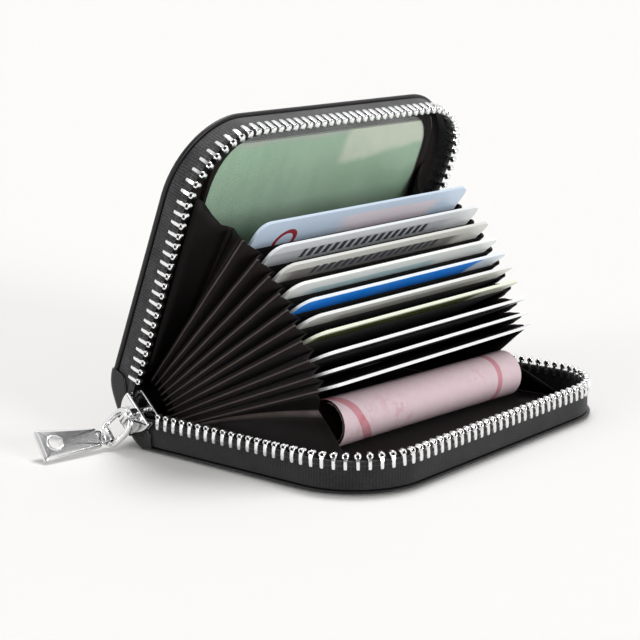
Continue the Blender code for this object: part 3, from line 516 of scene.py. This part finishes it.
def chainPiece(which, stagger):
    # a tooth at each pitch along the zip, leaning a little; stagger moves the row by part of a pitch
    side, _, angle, body = halves[which]
    shape, faces, clearOfPaintedShade = toothShape()
    pitch = zipLook["pitch"]
    _, _, length = casePath(zipLook["inset"], zipLook["start"])
    count = int((length[-1] - pitch) / pitch) + (stagger < 0)
    at = pitch * (0.5 + stagger + np.arange(count))
    place, out = alongPath(at, zipLook["inset"], zipLook["start"])
    lean = np.radians(rng.normal(0.0, zipLook["leanDegrees"], count))[:, None]
    teeth = np.repeat(shape[None], count, 0)
    teeth[..., 0] = shape[:, 0] * np.cos(lean) + shape[:, 2] * np.sin(lean) * 0.6
    points = outOf(repeatedOn(teeth * [-side, 1, -side], place, out), angle)
    uv = np.stack([np.tile(clearOfPaintedShade, count), np.full(count * len(shape), 0.5)], -1)
    faces = repeatedFaces(faces, len(shape), count)
    piece = meshFrom(f"{which}Teeth", points, faces, toothMetal, uv, sharp=50)
    settle(piece, body, f"{which}_zip_chain")
    print(which, count, "teeth")


tapePiece("lower")
tapePiece("lid")
chainPiece("lower", 0.0)
chainPiece("lid", -0.5)
print("zip done")


pullLook = {  # for each part of the pull: its body, its origin, and the directions of its own x and z
    "slider": ("slider_body", (-0.03499, 0.0, 0.0102), (0.703395, 0.0, 0.710799),
               (-0.710799, 0.0, 0.703395)),
    "link": ("link", (-0.035834, -0.05795, 0.009347), (-0.717853, -0.153016, -0.679171),
             (-0.695267, 0.207912, 0.688024)),
    "tab": ("tab", (-0.042295, -0.059327, 0.003235), (-0.259645, -0.965259, 0.02931),
            (-0.695267, 0.207912, 0.688024)),
}


def pullPiece(name, points, which, node=None, **how):
    # from a pull part's own x, y, z to the object's: origin + x*u + y*(w cross u) + z*w
    body, *frameOf = pullLook[which]
    origin, u, w = np.array(frameOf)
    placed = origin + points[..., :1] * u + points[..., 1:2] * np.cross(w, u) + points[..., 2:3] * w
    settle(gridPiece(name, placed, chrome, **how), body, node)


def curved(corners, sizes, steps=5):
    # an outline with each corner cut off by a smooth curve that starts and ends a size away from it
    corners = np.array(corners, float)
    t = np.linspace(0, 1, steps + 1)[:, None]
    pieces = []
    for k, size in enumerate(sizes):
        at, before, after = corners[k], corners[k - 1], corners[(k + 1) % len(corners)]
        first = at + size * (before - at) / np.linalg.norm(before - at)
        last = at + size * (after - at) / np.linalg.norm(after - at)
        pieces.append((1 - t) ** 2 * first + 2 * t * (1 - t) * at + t * t * last)
    return np.concatenate(pieces)


def movedIn(outline, inset):
    # each point moves square to its neighbours' line, to the left of the way round
    run = np.roll(outline, -1, 0) - np.roll(outline, 1, 0)
    run /= np.linalg.norm(run, axis=1, keepdims=True)
    return outline + inset * np.stack([-run[:, 1], run[:, 0]], 1)


def mirroredRings(rings):
    # rings down to a middle level of 0, and the same ones below it in the other order
    return ringsGrid(rings + [(flat, -level) for flat, level in rings[::-1]])


def platePiece(name, outline, low, high, which, bevel, node=None):
    # rings over an outline in (x, z): flat face, rounded rim, wall, rounded rim, flat face
    rings = [(3.0 * bevel, low), (bevel, low), (0.3 * bevel, low + 0.3 * bevel), (0.0, low + bevel),
             (0.0, high - bevel), (0.3 * bevel, high - 0.3 * bevel), (bevel, high), (3.0 * bevel, high)]
    points = ringsGrid([(movedIn(outline, inset), level) for inset, level in rings])[..., sideways]
    pullPiece(name, points, which, node, caps=True, flip=True, sharp=50)


def tubePiece(name, path, across, high, which, node=None, closed=True, sides=14):
    # an oval bar on a flat path in (x, y, z): half widths across it in its plane, and high square to that
    padded = np.pad(path, ((1, 1), (0, 0)), mode="wrap" if closed else "edge")
    run = padded[2:] - padded[:-2]
    run /= np.linalg.norm(run, axis=1, keepdims=True)
    up = np.array([0.0, 1.0, 0.0] if np.ptp(path[:, 1]) < 1e-6 else [0.0, 0.0, 1.0])
    side = np.cross(run, up)
    turn = np.linspace(0, 2 * math.pi, sides, endpoint=False)[:, None]
    points = path[:, None] + side[:, None] * across * np.cos(turn) + up * high * np.sin(turn)
    pullPiece(name, points, which, node, wrapColumns=True, wrapRows=closed, caps=not closed, flip=True)


sliderLook = {  # outlines in (x, z), and levels along y
    "half": [(-0.0064, -0.0022), (-0.0046, -0.0032), (-0.0011, -0.0052), (0.0016, -0.0052)],
    "rounds": [0.0012, 0.0015, 0.0016, 0.0005], "tapeY": -0.054, "plate": (0.00185, 0.00265), "slit": 0.001,
    "flange": [(0.0014, 0.0049), (-0.001, 0.0049), (-0.0044, 0.003), (-0.0058, 0.0022)],
    "flangeWide": 0.00055, "post": [(0.0009, 0.0), (-0.0002, 0.001), (-0.0013, 0.0), (-0.0002, -0.001)],
    "bail": (-0.0034, 0.00095), "bailTop": -0.0597, "bailRound": 0.0014, "bailHalf": (0.00042, 0.0009),
}


def sliderPieces():
    # two plates joined by a wedge-shaped post, with flanges turned in along their sides and a bail outside
    half, rounds = sliderLook["half"], sliderLook["rounds"]
    outline = curved(half + [(x, -z) for x, z in half[::-1]], rounds + rounds[::-1])
    inner, outer = sliderLook["plate"]
    tape, slit = sliderLook["tapeY"], sliderLook["slit"]
    platePiece("sliderOuter", outline, tape - outer, tape - inner, "slider", 0.00022, "slider")
    platePiece("sliderInner", outline, tape + inner, tape + outer, "slider", 0.00022)
    levels = {"Outer": (tape - inner - 0.0001, tape - slit), "Inner": (tape + slit, tape + inner + 0.0001)}
    for side in (-1, 1):
        strip = np.array(sliderLook["flange"])
        strip = np.concatenate([strip, (strip - [0, sliderLook["flangeWide"]])[::-1]]) * [1, side]
        strip = curved(strip[::-side], [0.0002] * 8, 2)
        for title, (low, high) in levels.items():
            name = f"sliderFlange{title}{'Low' if side < 0 else 'High'}"
            platePiece(name, strip, low, high, "slider", 0.00008)
    post = curved(sliderLook["post"], [0.0002] * 4, 3)
    platePiece("sliderPost", post, tape - inner - 0.0002, tape + inner + 0.0002, "slider", 0.00003)
    (first, last), foot, top = sliderLook["bail"], tape - outer + 0.0003, sliderLook["bailTop"]
    bends = [0, sliderLook["bailRound"], sliderLook["bailRound"], 0]
    bail = curved([(first, foot), (first, top), (last, top), (last, foot)], bends, 7)[7:-7]
    path = np.column_stack([bail, 0 * bail[:, 0]])
    tubePiece("sliderBail", path, *sliderLook["bailHalf"], "slider", closed=False)


linkLook = {
    "corners": [(0.0, -0.0022), (0.0, 0.0022), (0.003, 0.0031), (0.009, 0.0031), (0.009, -0.0031),
                (0.003, -0.0031)],
    "rounds": [0.0018, 0.0018, 0.001, 0.0016, 0.0016, 0.001], "half": (0.00085, 0.00078),
}


def linkPiece():
    # an oval wire carried round a long ring, which is narrower where it hangs in the bail
    outline = curved(linkLook["corners"], linkLook["rounds"], 8)
    path = np.column_stack([outline[:, 0], 0 * outline[:, 0], outline[:, 1]])
    tubePiece("pullLink", path, *linkLook["half"], "link", "pull_link", sides=16)


tabLook = {  # rim and bevel rings are (radius or inset, lift over the face)
    "corners": [(0.0026, -0.0027), (0.019, -0.0046), (0.019, 0.0046), (0.0026, 0.0027)],
    "rounds": [0.0004, 0.001, 0.001, 0.0004], "hole": (0.0148, 0.0), "half": 0.0009,
    "rim": [(0.0017, -0.0002), (0.00172, 0.0001), (0.0018, 0.00024), (0.002, 0.0003), (0.0022, 0.00022),
            (0.00234, 0.0), (0.0026, 0.0)],
    "bevel": [(0.0009, 0.0), (0.00062, 0.0), (0.0005, -0.00004), (0.00012, -0.00034), (0.0, -0.00046)],
    "eye": [(0.00095, 0.0016), (0.00105, 0.00178), (0.0014, 0.0018), (0.0015, 0.0017)],
    "neck": [(0.0012, -0.0016), (0.0036, -0.0022), (0.0036, 0.0022), (0.0012, 0.0016)], "neckHalf": 0.0007,
}


def tabPieces():
    # rings from the hole's wall over its raised rim, along the face and round the bevelled edge, the same
    # below; the eye is rings about z, and a neck joins the two
    outline = curved(tabLook["corners"], tabLook["rounds"])
    steps = np.linspace(0, 1, 7)[:-1, None]
    outline = np.concatenate([a + (b - a) * steps for a, b in zip(outline, np.roll(outline, -1, 0))])
    centre, half = np.array(tabLook["hole"]), tabLook["half"]
    out = (outline - centre) / np.linalg.norm(outline - centre, axis=1, keepdims=True)
    top = [(centre + out * radius, half + lift) for radius, lift in tabLook["rim"]]
    top += [(movedIn(outline, inset), half + lift) for inset, lift in tabLook["bevel"]]
    plate = mirroredRings(top)[..., sideways]
    pullPiece("pullTab", plate, "tab", "pull_tab", wrapColumns=True, wrapRows=True, sharp=28)
    turn = np.radians(np.arange(28) * 360 / 28)
    circle = np.column_stack([np.cos(turn), np.sin(turn)])
    eye = mirroredRings([(circle * radius, level) for radius, level in tabLook["eye"]])
    pullPiece("pullEye", eye, "tab", wrapColumns=True, wrapRows=True, sharp=45)
    neck = curved(tabLook["neck"], [0.0003] * 4, 3)
    platePiece("pullNeck", neck, -tabLook["neckHalf"], tabLook["neckHalf"], "tab", 0.0002)


sliderPieces()
linkPiece()
tabPieces()
print("pull done")


coverLook = {
    "leather": 0.0012, "rim": 0.0006, "channel": 0.00016, "puff": 0.0005,
    "stitchInset": 0.0027, "stitchPitch": 0.0028, "stitchHalf": 0.00095, "stitchRadius": 0.00022,
    "stitchLift": 0.0002,
}


def closedOutline(inset):
    # the case's outline moved in, closed along the spine side
    place, out, _ = casePath(inset, case["coverStart"] + inset, 16, 0.003)
    rows = np.linspace(1, 0, 34)[1:-1]
    spine = np.stack([np.full_like(rows, place[0, 0]), place[0, 1] + rows * (place[-1, 1] - place[0, 1])], 1)
    return np.concatenate([place, spine])


def coverPiece(which):
    # rings (inset, lift) from the inner face round the rolled edge to the outer face: the lower cover curves
    # up from the table towards its edge, and the lid is puffed, with a channel for its stitches
    side, depth, angle, body = halves[which]
    rim, thick, channel = coverLook["rim"], coverLook["leather"], coverLook["channel"]
    rings = [(0.004, 0.0), (0.0016, 0.0), (rim * 0.6, 0.0), (rim * 0.15, rim * 0.25)]
    if side < 0:
        rings += [(0.0, 0.0003), (0.00012, 0.00048), (0.0005, 0.0007), (0.0013, 0.00092), (0.0028, 0.00109),
                  (0.005, thick), (0.008, thick), (0.019, thick)]
    else:
        rings += [(0.0, rim), (rim * 0.15, thick - rim * 0.35), (rim * 0.6, thick - 0.00005),
                  (0.0014, thick), (0.0021, thick - channel / 2), (0.0027, thick - channel),
                  (0.0033, thick - channel / 2), (0.004, thick), (0.008, thick + 0.00025),
                  (0.014, thick + 0.00042), (0.019, thick + coverLook["puff"])]
    grid = ringsGrid([(closedOutline(inset), side * (depth - thick + lift)) for inset, lift in rings])
    points = outOf(grid, angle)
    piece = gridPiece(f"{which}CoverLeather", points, leather, caps=True, flip=side < 0, sharp=60)
    settle(piece, body, f"{which}_cover")


def stitchShape():
    # a short thread: rings of six points along it, thin at the ends and sunk there
    along = np.array([-1.0, -0.85, -0.4, 0.4, 0.85, 1.0])[:, None] * coverLook["stitchHalf"]
    thick = np.array([0.35, 0.8, 1.0, 1.0, 0.8, 0.35])[:, None] * coverLook["stitchRadius"]
    lift = np.array([-0.00018, -0.00006, 0.0, 0.0, -0.00006, -0.00018])[:, None]
    turn = np.radians(np.arange(6) * 60.0)
    grid = spread(along, thick * np.cos(turn), thick * np.sin(turn) + lift)
    return grid.reshape(-1, 3), gridFaces(6, 6, caps=True)


def stitchRow():
    # a stitch at each pitch along the lid's edge, resting in its channel
    _, depth, angle, body = halves["lid"]
    shape, faces = stitchShape()
    inset, start, pitch = coverLook["stitchInset"], case["coverStart"] + 0.004, coverLook["stitchPitch"]
    _, _, length = casePath(inset, start)
    at = np.arange(pitch, length[-1] - pitch, pitch)
    points = repeatedOn(shape, *alongPath(at, inset, start))
    points[..., 2] = depth + coverLook["stitchLift"] - coverLook["stitchRadius"] + points[..., 2]
    faces = repeatedFaces(faces, len(shape), len(at))
    settle(meshFrom("lidStitches", outOf(points, angle), faces, thread), body)


coverPiece("lower")
coverPiece("lid")
stitchRow()


spineLook = {
    "foot": (0.0035, -0.0097), "footHandle": 0.003, "lidX": 0.0062, "lidLift": 0.00045, "lidHandle": 0.0085,
    "end": 0.0548, "round": 0.0011, "wall": 0.0004, "creases": 0.00012, "bend": 0.01,
    "trayEdge": [(0.007, -0.0092), (0.0068, -0.005), (0.0022, -0.0026), (0.0004, 0.0)],
    "lidEdge": [(0.0022, 0.0026), (0.0068, 0.0048), (0.007, 0.0084)],
}


def spinePiece():
    # a curve from the tray round to the lid, carried along the spine and folded over both ends:
    # outer(s) is a cubic, inner(s) the edge of the end flaps, and each end blends from one to the other
    along, up = directions(case["openAngle"])
    foot = np.array(spineLook["foot"])
    head = spineLook["lidX"] * along + (case["lidDepth"] + spineLook["lidLift"]) * up
    s = np.linspace(0, 1, 40)[:, None]
    c1, c2 = foot - [spineLook["footHandle"], 0], head - spineLook["lidHandle"] * along
    outer = (1 - s) ** 3 * foot + 3 * s * (1 - s) ** 2 * c1 + 3 * s * s * (1 - s) * c2 + s ** 3 * head
    edge = np.array(spineLook["trayEdge"] + [x * along + z * up for x, z in spineLook["lidEdge"]])
    stops = np.array([0.0, 0.18, 0.36, 0.5, 0.64, 0.82, 1.0])
    inner = np.stack([np.interp(s[:, 0], stops, edge[:, k]) for k in (0, 1)], 1)
    kernel = np.array([1, 3, 4, 3, 1]) / 12
    padded = np.pad(inner, ((2, 2), (0, 0)), mode="reflect", reflect_type="odd")
    inner = np.stack([np.convolve(padded[:, k], kernel, "valid") for k in (0, 1)], 1)
    half, radius = spineLook["end"], spineLook["round"]
    toInner = inner - outer
    reach = np.linalg.norm(toInner, axis=1, keepdims=True)
    nearEnd = [(outer + toInner * (radius + flap * np.maximum(reach - radius, 0)) / reach, -half)
               for flap in np.linspace(1, 0, 9)]
    for turn in np.radians(np.linspace(0, 90, 6))[1:]:
        flat = outer + toInner / reach * radius * (1 - math.sin(turn))
        nearEnd.append((flat, -half + radius * (1 - math.cos(turn))))
    middle = [(outer, y) for y in np.linspace(-half + radius, half - radius, 60)[1:-1]]
    farEnd = [(flat, -y) for flat, y in nearEnd[::-1]]
    grid = ringsGrid(nearEnd + middle + farEnd)[..., sideways].swapaxes(0, 1)
    y = grid[..., 1]
    crease = np.sin(y * 260.0 + s * 5.0) * np.sin(s * np.pi) * np.sin(s * 19.0 + y * 40)
    grid[..., 0] -= crease * spineLook["creases"]
    hx, hz = case["hinge"]
    piece = gridPiece("spineWrap", grid + [hx, 0, hz], spineLeather, flip=True, sharp=70)
    wallOn(piece, spineLook["wall"], -1.0)
    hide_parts("spine_leather", "lower_near_tab", "lower_far_tab", "lid_near_tab", "lid_far_tab")
    blendAcross(piece)


spinePiece()
print("covers and spine done")


pleatLook = {
    "inner": 0.0465, "valley": 0.0075, "start": 0.0062, "nearReach": 0.0545, "farReach": 0.0512,
    "creaseReach": 0.0512, "stations": 14, "wall": 0.0003, "trayDrop": 0.0075, "lidRise": 0.0052,
}
firstPleat = {
    "trayReach": 0.062, "creaseReach": 0.0466, "creaseShare": 0.72, "foldStart": 0.02, "depth": 0.0085,
}
lastPleat = {"lidReach": (0.0507, 0.0524, 0.0548, 0.0563), "sleeveShare": 0.67, "creaseShare": 0.78}


def sheetUnder(number, side):
    # place and angle of a sleeve's lower (side -1) or upper (side 1) face; 0 is the tray, 11 the lid
    if number == 0:
        return case["hinge"] + np.array([sleeves["foldX"], -pleatLook["trayDrop"]]), 0.0
    if number == 11:
        origin, angle, lift = case["hinge"], case["openAngle"], pleatLook["lidRise"]
    else:
        origin, angle = sleeveFrame(number)
        lift = side * (sleeves["depth"] / 2 - 0.00002)
    return origin + lift * directions(angle)[1], angle


def pleatRows(low, high, end):
    # two flaps between neighbouring sleeves: y runs from the ridge in to the crease and back out
    first, firstAngle = sheetUnder(low, 1)
    second, secondAngle = sheetUnder(high, -1)
    t = np.linspace(0, 1, 9)
    s = np.linspace(0, 1, pleatLook["stations"])[:, None]
    ridgeReach = pleatLook["nearReach" if end < 0 else "farReach"]
    reaches = [ridgeReach, pleatLook["creaseReach"], ridgeReach]
    if low == 0:
        reaches = [firstPleat["trayReach"], firstPleat["creaseReach"], ridgeReach]
    reach = np.interp(t, [0, 0.5, 1], reaches)
    if high == 11:
        reach[5:] = lastPleat["lidReach"]
    radial = pleatLook["start"] + s * (reach[None, :] - pleatLook["start"])
    a = first + radial[..., None] * directions(firstAngle)[0]
    b = second + radial[..., None] * directions(secondAngle)[0]
    gap = np.linalg.norm(b - a, axis=2)[:, 4:5]
    depth = np.minimum(pleatLook["valley"] * smoothstep((gap - 0.0003) / 0.0022), 0.012)
    bend = np.interp(t, [0, 0.25, 0.5, 0.75, 1], [0, 0.36, 0.5, 0.64, 1])[None, :] + 0 * s
    if low == 0:  # the crease leaves the ridge part of the way along and turns inwards
        foldStart, foldEnd = firstPleat["foldStart"], firstPleat["creaseReach"]
        opened = np.clip((radial[:, 4:5] - foldStart) / (foldEnd - foldStart), 0, 1)
        share = 1 - (1 - firstPleat["creaseShare"]) * opened
        bend = np.where(t < 0.5, 2 * t * share, share + (2 * t - 1) * (1 - share))
        depth = firstPleat["depth"] * opened
    inward = (1 - np.abs(2 * t - 1)) ** 0.8
    if high == 11:  # the bend eases with a smoothstep of the share, from the sleeve's side to the lid's
        least, middle = lastPleat["sleeveShare"], lastPleat["creaseShare"]
        share = np.where(t < 0.5, least + (middle - least) * inward, 1 - (1 - middle) * inward)
        bend = ((smoothstep(share) - smoothstep(least)) / (1 - smoothstep(least)))[None, :] + 0 * s
        depth = np.full_like(depth, pleatLook["valley"])
    xz = a + (b - a) * bend[..., None]
    y = end * (pleatLook["inner"] - depth * inward[None, :])
    return spread(xz[..., 0], y, xz[..., 1]), first, second, (firstAngle + secondAngle) / 2


def pleatPiece(low, high, end, flap=""):
    # both flaps of a gap as one sheet, or one of them
    points, first, second, middleAngle = pleatRows(low, high, end)
    points = {"": points, "_a": points[:, :5], "_b": points[:, 4:]}[flap]
    name = f"pleat_{'near' if end < 0 else 'far'}_{low:02d}{flap}"
    rows, columns = points.shape[:2]
    ends = {"": (-0.7, 1.7), "_a": (-0.7, 0.5), "_b": (0.5, 1.7)}[flap]  # the crease is where v is a half, where the painted highlight runs
    uv = spread(np.linspace(0, 1, rows)[:, None], np.linspace(*ends, columns)[None, :])
    # the outermost pleats take the cloth with a painted highlight along their crease
    finish = pleatCloth if 0 < low < 10 else crestHighlightCloth
    piece = gridPiece(name, points, finish, uv, flip=end > 0, sharp=180)
    wallOn(piece, pleatLook["wall"], 0.0)
    if high == 11:  # the flaps between sleeve_10 and the lid are only baked where they are
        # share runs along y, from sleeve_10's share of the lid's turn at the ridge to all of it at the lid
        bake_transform(piece)
        return
    blendAcross(piece)
    if low == 0:
        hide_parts("near_pleats" if end < 0 else "far_pleats")


ridgeLook = {"start": 0.004, "past": 0.0002, "inner": 0.046, "round": 0.0007, "rows": 28}


def ridgePiece(number):
    # the folded cloth round both ends of a sleeve: a half round, a little uneven, carried along it
    origin, angle = sleeveFrame(number)
    turn = np.radians(np.linspace(-100, 100, 9))
    rows, columns = ridgeLook["rows"], len(turn)
    grids, faces = [], []
    for end, reach in ((-1, pleatLook["nearReach"]), (1, pleatLook["farReach"])):
        length = reach + ridgeLook["past"] - ridgeLook["start"]
        radial = ridgeLook["start"] + np.linspace(0, 1, rows)[:, None] * length
        wobble = 1 + 0.1 * np.sin(radial * 420 + number * 1.7) + 0.06 * np.sin(radial * 980 + number)
        thick = (sleeves["depth"] / 2 + 0.00004) * np.minimum(1, 0.65 + radial / 0.05)
        y = end * (ridgeLook["inner"] + ridgeLook["round"] * np.cos(turn) * wobble)
        both = gridFaces(rows, columns, caps=True, flip=end < 0)
        faces += [[v + len(grids) * rows * columns for v in face] for face in both]
        grids.append(spread(radial, y, thick * np.sin(turn)))
    grids = np.stack(grids)
    # v runs across the half round, so that the painted highlight lies along its crest
    uv = spread(grids[..., 0], np.linspace(0, 1, columns))
    piece = meshFrom(f"ridge_{number:02d}", outOf(grids, angle, origin), faces, crestHighlightCloth, uv, sharp=60)
    settle(piece, f"sleeve_{number:02d}")


for endOf in (-1, 1):
    for lowest in range(10):
        pleatPiece(lowest, lowest + 1, endOf)
    for flapName in ("_a", "_b"):
        pleatPiece(10, 11, endOf, flapName)
for k in range(1, 11):
    ridgePiece(k)
print("pleats done")


noteLook = {
    "radius": 0.0064, "length": 0.0705, "step": 0.0009, "turns": 1.5, "edge": -90.0, "yaw": -4.0,
    "shift": 0.00305, "rise": 0.0065, "paper": 0.00016, "stagger": 0.0004, "flare": 0.015, "pressed": 0.02,
}


def notePiece():
    # a spiral sheet: radius falls steadily with the turn, and the ends stagger a little; the section
    # runs out along the outer face and back along the inner one
    low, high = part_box("note_roll")
    centreX, centreZ = (low[0] + high[0]) / 2, low[2] + noteLook["rise"]
    sweep = np.linspace(0, 2 * math.pi * noteLook["turns"], 90)
    radius = noteLook["radius"] - noteLook["step"] * sweep / (2 * math.pi)
    around = np.concatenate([[0], np.cumsum(radius[1:] * np.diff(sweep))])
    turn = sweep + math.radians(noteLook["edge"])
    turn = np.concatenate([turn, turn[::-1]])
    radius = np.concatenate([radius, radius[::-1] - noteLook["paper"]])
    length = np.linspace(-0.5, 0.5, 30)[:, None] * noteLook["length"]
    slip = np.concatenate([sweep, sweep[::-1]])[None, :] / sweep[-1]
    y = length - slip * np.sign(length) * noteLook["stagger"]
    flare = 1 + noteLook["flare"] * (length / 0.033) ** 4
    x, z = radius * np.cos(turn) * flare, radius * np.sin(turn) * flare
    yaw = math.radians(noteLook["yaw"])
    turnedX, turnedY = x * math.cos(yaw) - y * math.sin(yaw), x * math.sin(yaw) + y * math.cos(yaw)
    points = np.stack([centreX + turnedX, noteLook["shift"] + turnedY, centreZ + z], -1)
    uv = spread(length, np.concatenate([around, 2 * around[-1] - around[::-1]])[None, :])
    paper = noteFinish(around[-1])
    piece = gridPiece("noteSheet", points, paper, uv, caps=True, flip=True)
    settle(piece, "note", "note_roll")
    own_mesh(piece)


def noteFinish(wide):
    # pink paper with soft bands and a faint mottle, all plain; v past the sheet's width is its inner face,
    # which is painted dark as painted shade inside the roll's bore
    finish, tree = newFinish("pink note paper", rgb(236, 208, 214), 0.6, specular=0.3)
    where = uvPoint(tree)
    u, v, _ = parts(tree, where)
    mottle = noise(tree, where, 420.0, 4.0, 0.65)
    slow = noise(tree, where, 60.0, 2.0)
    slanted = u + v * 0.6 + slow * 0.004
    band = between(slanted, -0.0216, -0.0186) + between(u + slow * 0.004, 0.027, 0.029)
    lift = (slow - 0.55) * 6.0
    patch = lift.node("ShaderNodeClamp", {0: lift}) * ((mottle > 0.52) * 0.4)
    ground = (mottle * 0.7).tint(rgb(250, 230, 235), rgb(234, 198, 207))
    colour = (patch + band * 0.7).tint(ground, rgb(216, 118, 134))
    # the inner face is painted dark: painted shade inside the roll's bore
    shaded = (v > wide).tint(colour, rgb(84, 54, 58))
    return feed(finish, tree, colour=shaded, roughness=0.5 + mottle * 0.15, bump=(mottle, 0.00003))


notePiece()


windowLook = {
    "foot": 0.0137, "head": 0.0731, "near": -0.0435, "far": 0.0458, "rounds": (0.002, 0.013, 0.013, 0.002),
    "face": 0.0053, "sheet": 0.0002, "back": 0.0066, "wall": 0.0009, "softEdge": (0.00015, 0.00006),
    "opening": ((0.0168, 0.0714), (-0.0424, 0.0436)), "openingRounds": (0.003, 0.016, 0.013, 0.003),
}


def windowFramePieces():
    # the sewn front sheet with its opening, and under it a strip along the foot, near side and head
    (low, high), (near, far) = windowLook["opening"]
    opening = curved([(low, near), (high, near), (high, far), (low, far)], windowLook["openingRounds"], 10)
    foot, head, left, right = (windowLook[key] for key in ("foot", "head", "near", "far"))
    outer = curved([(foot, left), (head, left), (head, right), (foot, right)], windowLook["rounds"], 10)
    face, back = windowLook["face"], windowLook["face"] + windowLook["sheet"]
    inset, lift = windowLook["softEdge"]
    grid = ringsGrid([(opening, back), (opening, face + lift), (movedIn(opening, -inset), face),
                      (movedIn(outer, inset), face), (outer, face + lift), (outer, back)])
    angle = case["openAngle"]
    sheet = gridPiece("windowSheet", outOf(grid, angle), cloth, wrapColumns=True, wrapRows=True, sharp=60)
    settle(sheet, "lid", "id_window_frame")
    path, inner, deep = outer[:33], movedIn(outer, windowLook["wall"])[:33], windowLook["back"]
    grid = ringsGrid([(path, back), (path, deep), (inner, deep), (inner, back)]).swapaxes(0, 1)
    settle(gridPiece("windowStrip", outOf(grid, angle), cloth, caps=True, sharp=60), "lid")


def windowFinish():
    # clear film with a slow ripple
    finish, tree = newFinish("clear film", (0.9, 0.92, 0.91, 1.0), 0.14, alpha=0.16, specular=0.7)
    ripple = noise(tree, objectPoint(tree), 60.0, 2.0)
    return feed(finish, tree, alpha=0.06 + ripple * 0.1, bump=(ripple, 0.0006))


def idFinish():
    # a green printed card: cloudy greens, greyer along the head, with one cream corner that is a painted
    # highlight of the film in front of it
    finish, tree = newFinish("green card", rgb(125, 154, 128), 0.42)
    where, (x, y, z) = cardPoint(tree, case["hinge"], case["openAngle"])
    cloud = noise(tree, where, 55.0, 3.0)
    fine = noise(tree, where, 300.0, 3.0)
    streak = noise(tree, tree.node("ShaderNodeMapping", {0: where, "Scale": (0.15, 1.0, 1.0)}), 210.0, 2.0)
    rise = ramp(x, 0.034, 0.066)
    ground = (rise * 0.7 + streak * 0.5 + cloud * 0.4 - 0.4).tint(rgb(98, 144, 106), rgb(158, 200, 160))
    head = ramp(x + cloud * 0.004, 0.069, 0.0712).tint(ground, rgb(176, 178, 166))
    # the cream corner is a painted highlight: the film's light patch at the top right
    paintedFilmHighlight = ramp(y + cloud * 0.01, 0.0115, 0.015) * ramp(x + cloud * 0.006 - y * 0.06, 0.0615, 0.0635)
    colour = (paintedFilmHighlight * 0.9).tint(head, rgb(212, 220, 196))
    speckled = (fine * 0.2).tint(colour, rgb(92, 130, 100))
    return feed(finish, tree, colour=speckled, roughness=0.38 + fine * 0.1)


windowFramePieces()


def setFinish(node, finish):
    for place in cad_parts[node].material_slots:
        place.material = finish


for k in range(1, 11):
    setFinish(f"card_{k:02d}", cardFinish(k))
    setFinish(f"sleeve_{k:02d}_back", cloth)
    setFinish(f"sleeve_{k:02d}_front", cloth)
for which in halves:
    setFinish(f"{which}_lining", cloth)
    setFinish(f"{which}_board", boardPaper)
    setFinish(f"{which}_near_stop", chrome)
    setFinish(f"{which}_far_stop", chrome)
setFinish("id_window_film", windowFinish())
setFinish("id_card", idFinish())
print("cards and window done")


view = {
    "place": (0.26006, -0.33752, 0.12114), "aim": (-0.01531, -0.00782, 0.0281), "roll": -0.37, "lens": 94.45,
}
lightLevels = {  # grey or colour as the diffuse rays find it, and as camera and mirror rays see it
    "floor": ((0.62, 0.62, 0.62, 1.0), (1.0, 0.99, 0.972, 1.0)), "room": (0.37, 0.37, 0.37, 1.0),
    "roomBehind": (0.9, 0.9, 0.9, 1.0), "roomInFront": (0.2, 0.2, 0.2, 1.0), "front": (0.6, -0.77, 0.22),
}


def seenDirect(tree):
    # 1 for camera, mirror and see-through rays, 0 for the diffuse ones
    path = tree.tree.nodes.new("ShaderNodeLightPath")
    kinds = ("Is Camera Ray", "Is Glossy Ray", "Is Transmission Ray")
    camera, glossy, through = (Wire(tree.tree, path.outputs[kind]) for kind in kinds)
    return camera.of("MAXIMUM", glossy).of("MAXIMUM", through)


floorFinish, floorTree = newFinish("pale floor", rgb(200, 200, 199), 0.9, specular=0.0)
feed(floorFinish, floorTree, colour=seenDirect(floorTree).tint(*lightLevels["floor"]))
floorCorners = np.array([(-6, -6, 0), (6, -6, 0), (6, 6, 0), (-6, 6, 0)])
meshFrom("floor", floorCorners, [(0, 1, 2, 3)], floorFinish)

world = bpy.data.worlds.new("pale room")
bpy.context.scene.world = world
world.use_nodes = True
sky = Wire(world.node_tree)
background = world.node_tree.nodes["Background"]
# mirror rays see a darker room on the camera's side, which gives the metal its dark reflections
around = sky.node("ShaderNodeTexCoord", out="Generated")
towards = sky.node("ShaderNodeVectorMath", {0: around, 1: lightLevels["front"]}, out="Value",
                   operation="DOT_PRODUCT")
room = ramp(towards, 0.45, 0.9).tint(lightLevels["roomBehind"], lightLevels["roomInFront"])
shade = seenDirect(sky).tint(lightLevels["room"], room)
world.node_tree.links.new(shade.socket, background.inputs["Color"])

lamps = {
    "key": {"towards": (-0.16, 0.28, 1.0), "angle": 22, "power": 1.58},
    "fill": {"towards": (0.82, -0.1, 0.13), "angle": 24, "power": 1.75},
    "side": {"towards": (-0.25, -0.75, 0.18), "angle": 30, "power": 0.6},
}
for lampName, values in lamps.items():
    light = bpy.data.lights.new(lampName, "SUN")
    light.energy, light.angle = values["power"], math.radians(values["angle"])
    lamp = linked(lampName, light)
    lamp.location = values["towards"]
    lamp.rotation_euler = (-Vector(values["towards"])).to_track_quat("-Z", "Y").to_euler()

cameraData = bpy.data.cameras.new("camera")
cameraData.lens, cameraData.sensor_width, cameraData.clip_start = view["lens"], 36.0, 0.01
camera = linked("camera", cameraData)
camera.location = view["place"]
aim = (Vector(view["aim"]) - Vector(view["place"])).to_track_quat("-Z", "Y")
roll = Matrix.Rotation(math.radians(view["roll"]), 4, "Z").to_quaternion()
camera.rotation_euler = (aim @ roll).to_euler()
bpy.context.scene.camera = camera
bpy.context.scene.view_settings.view_transform = "Standard"
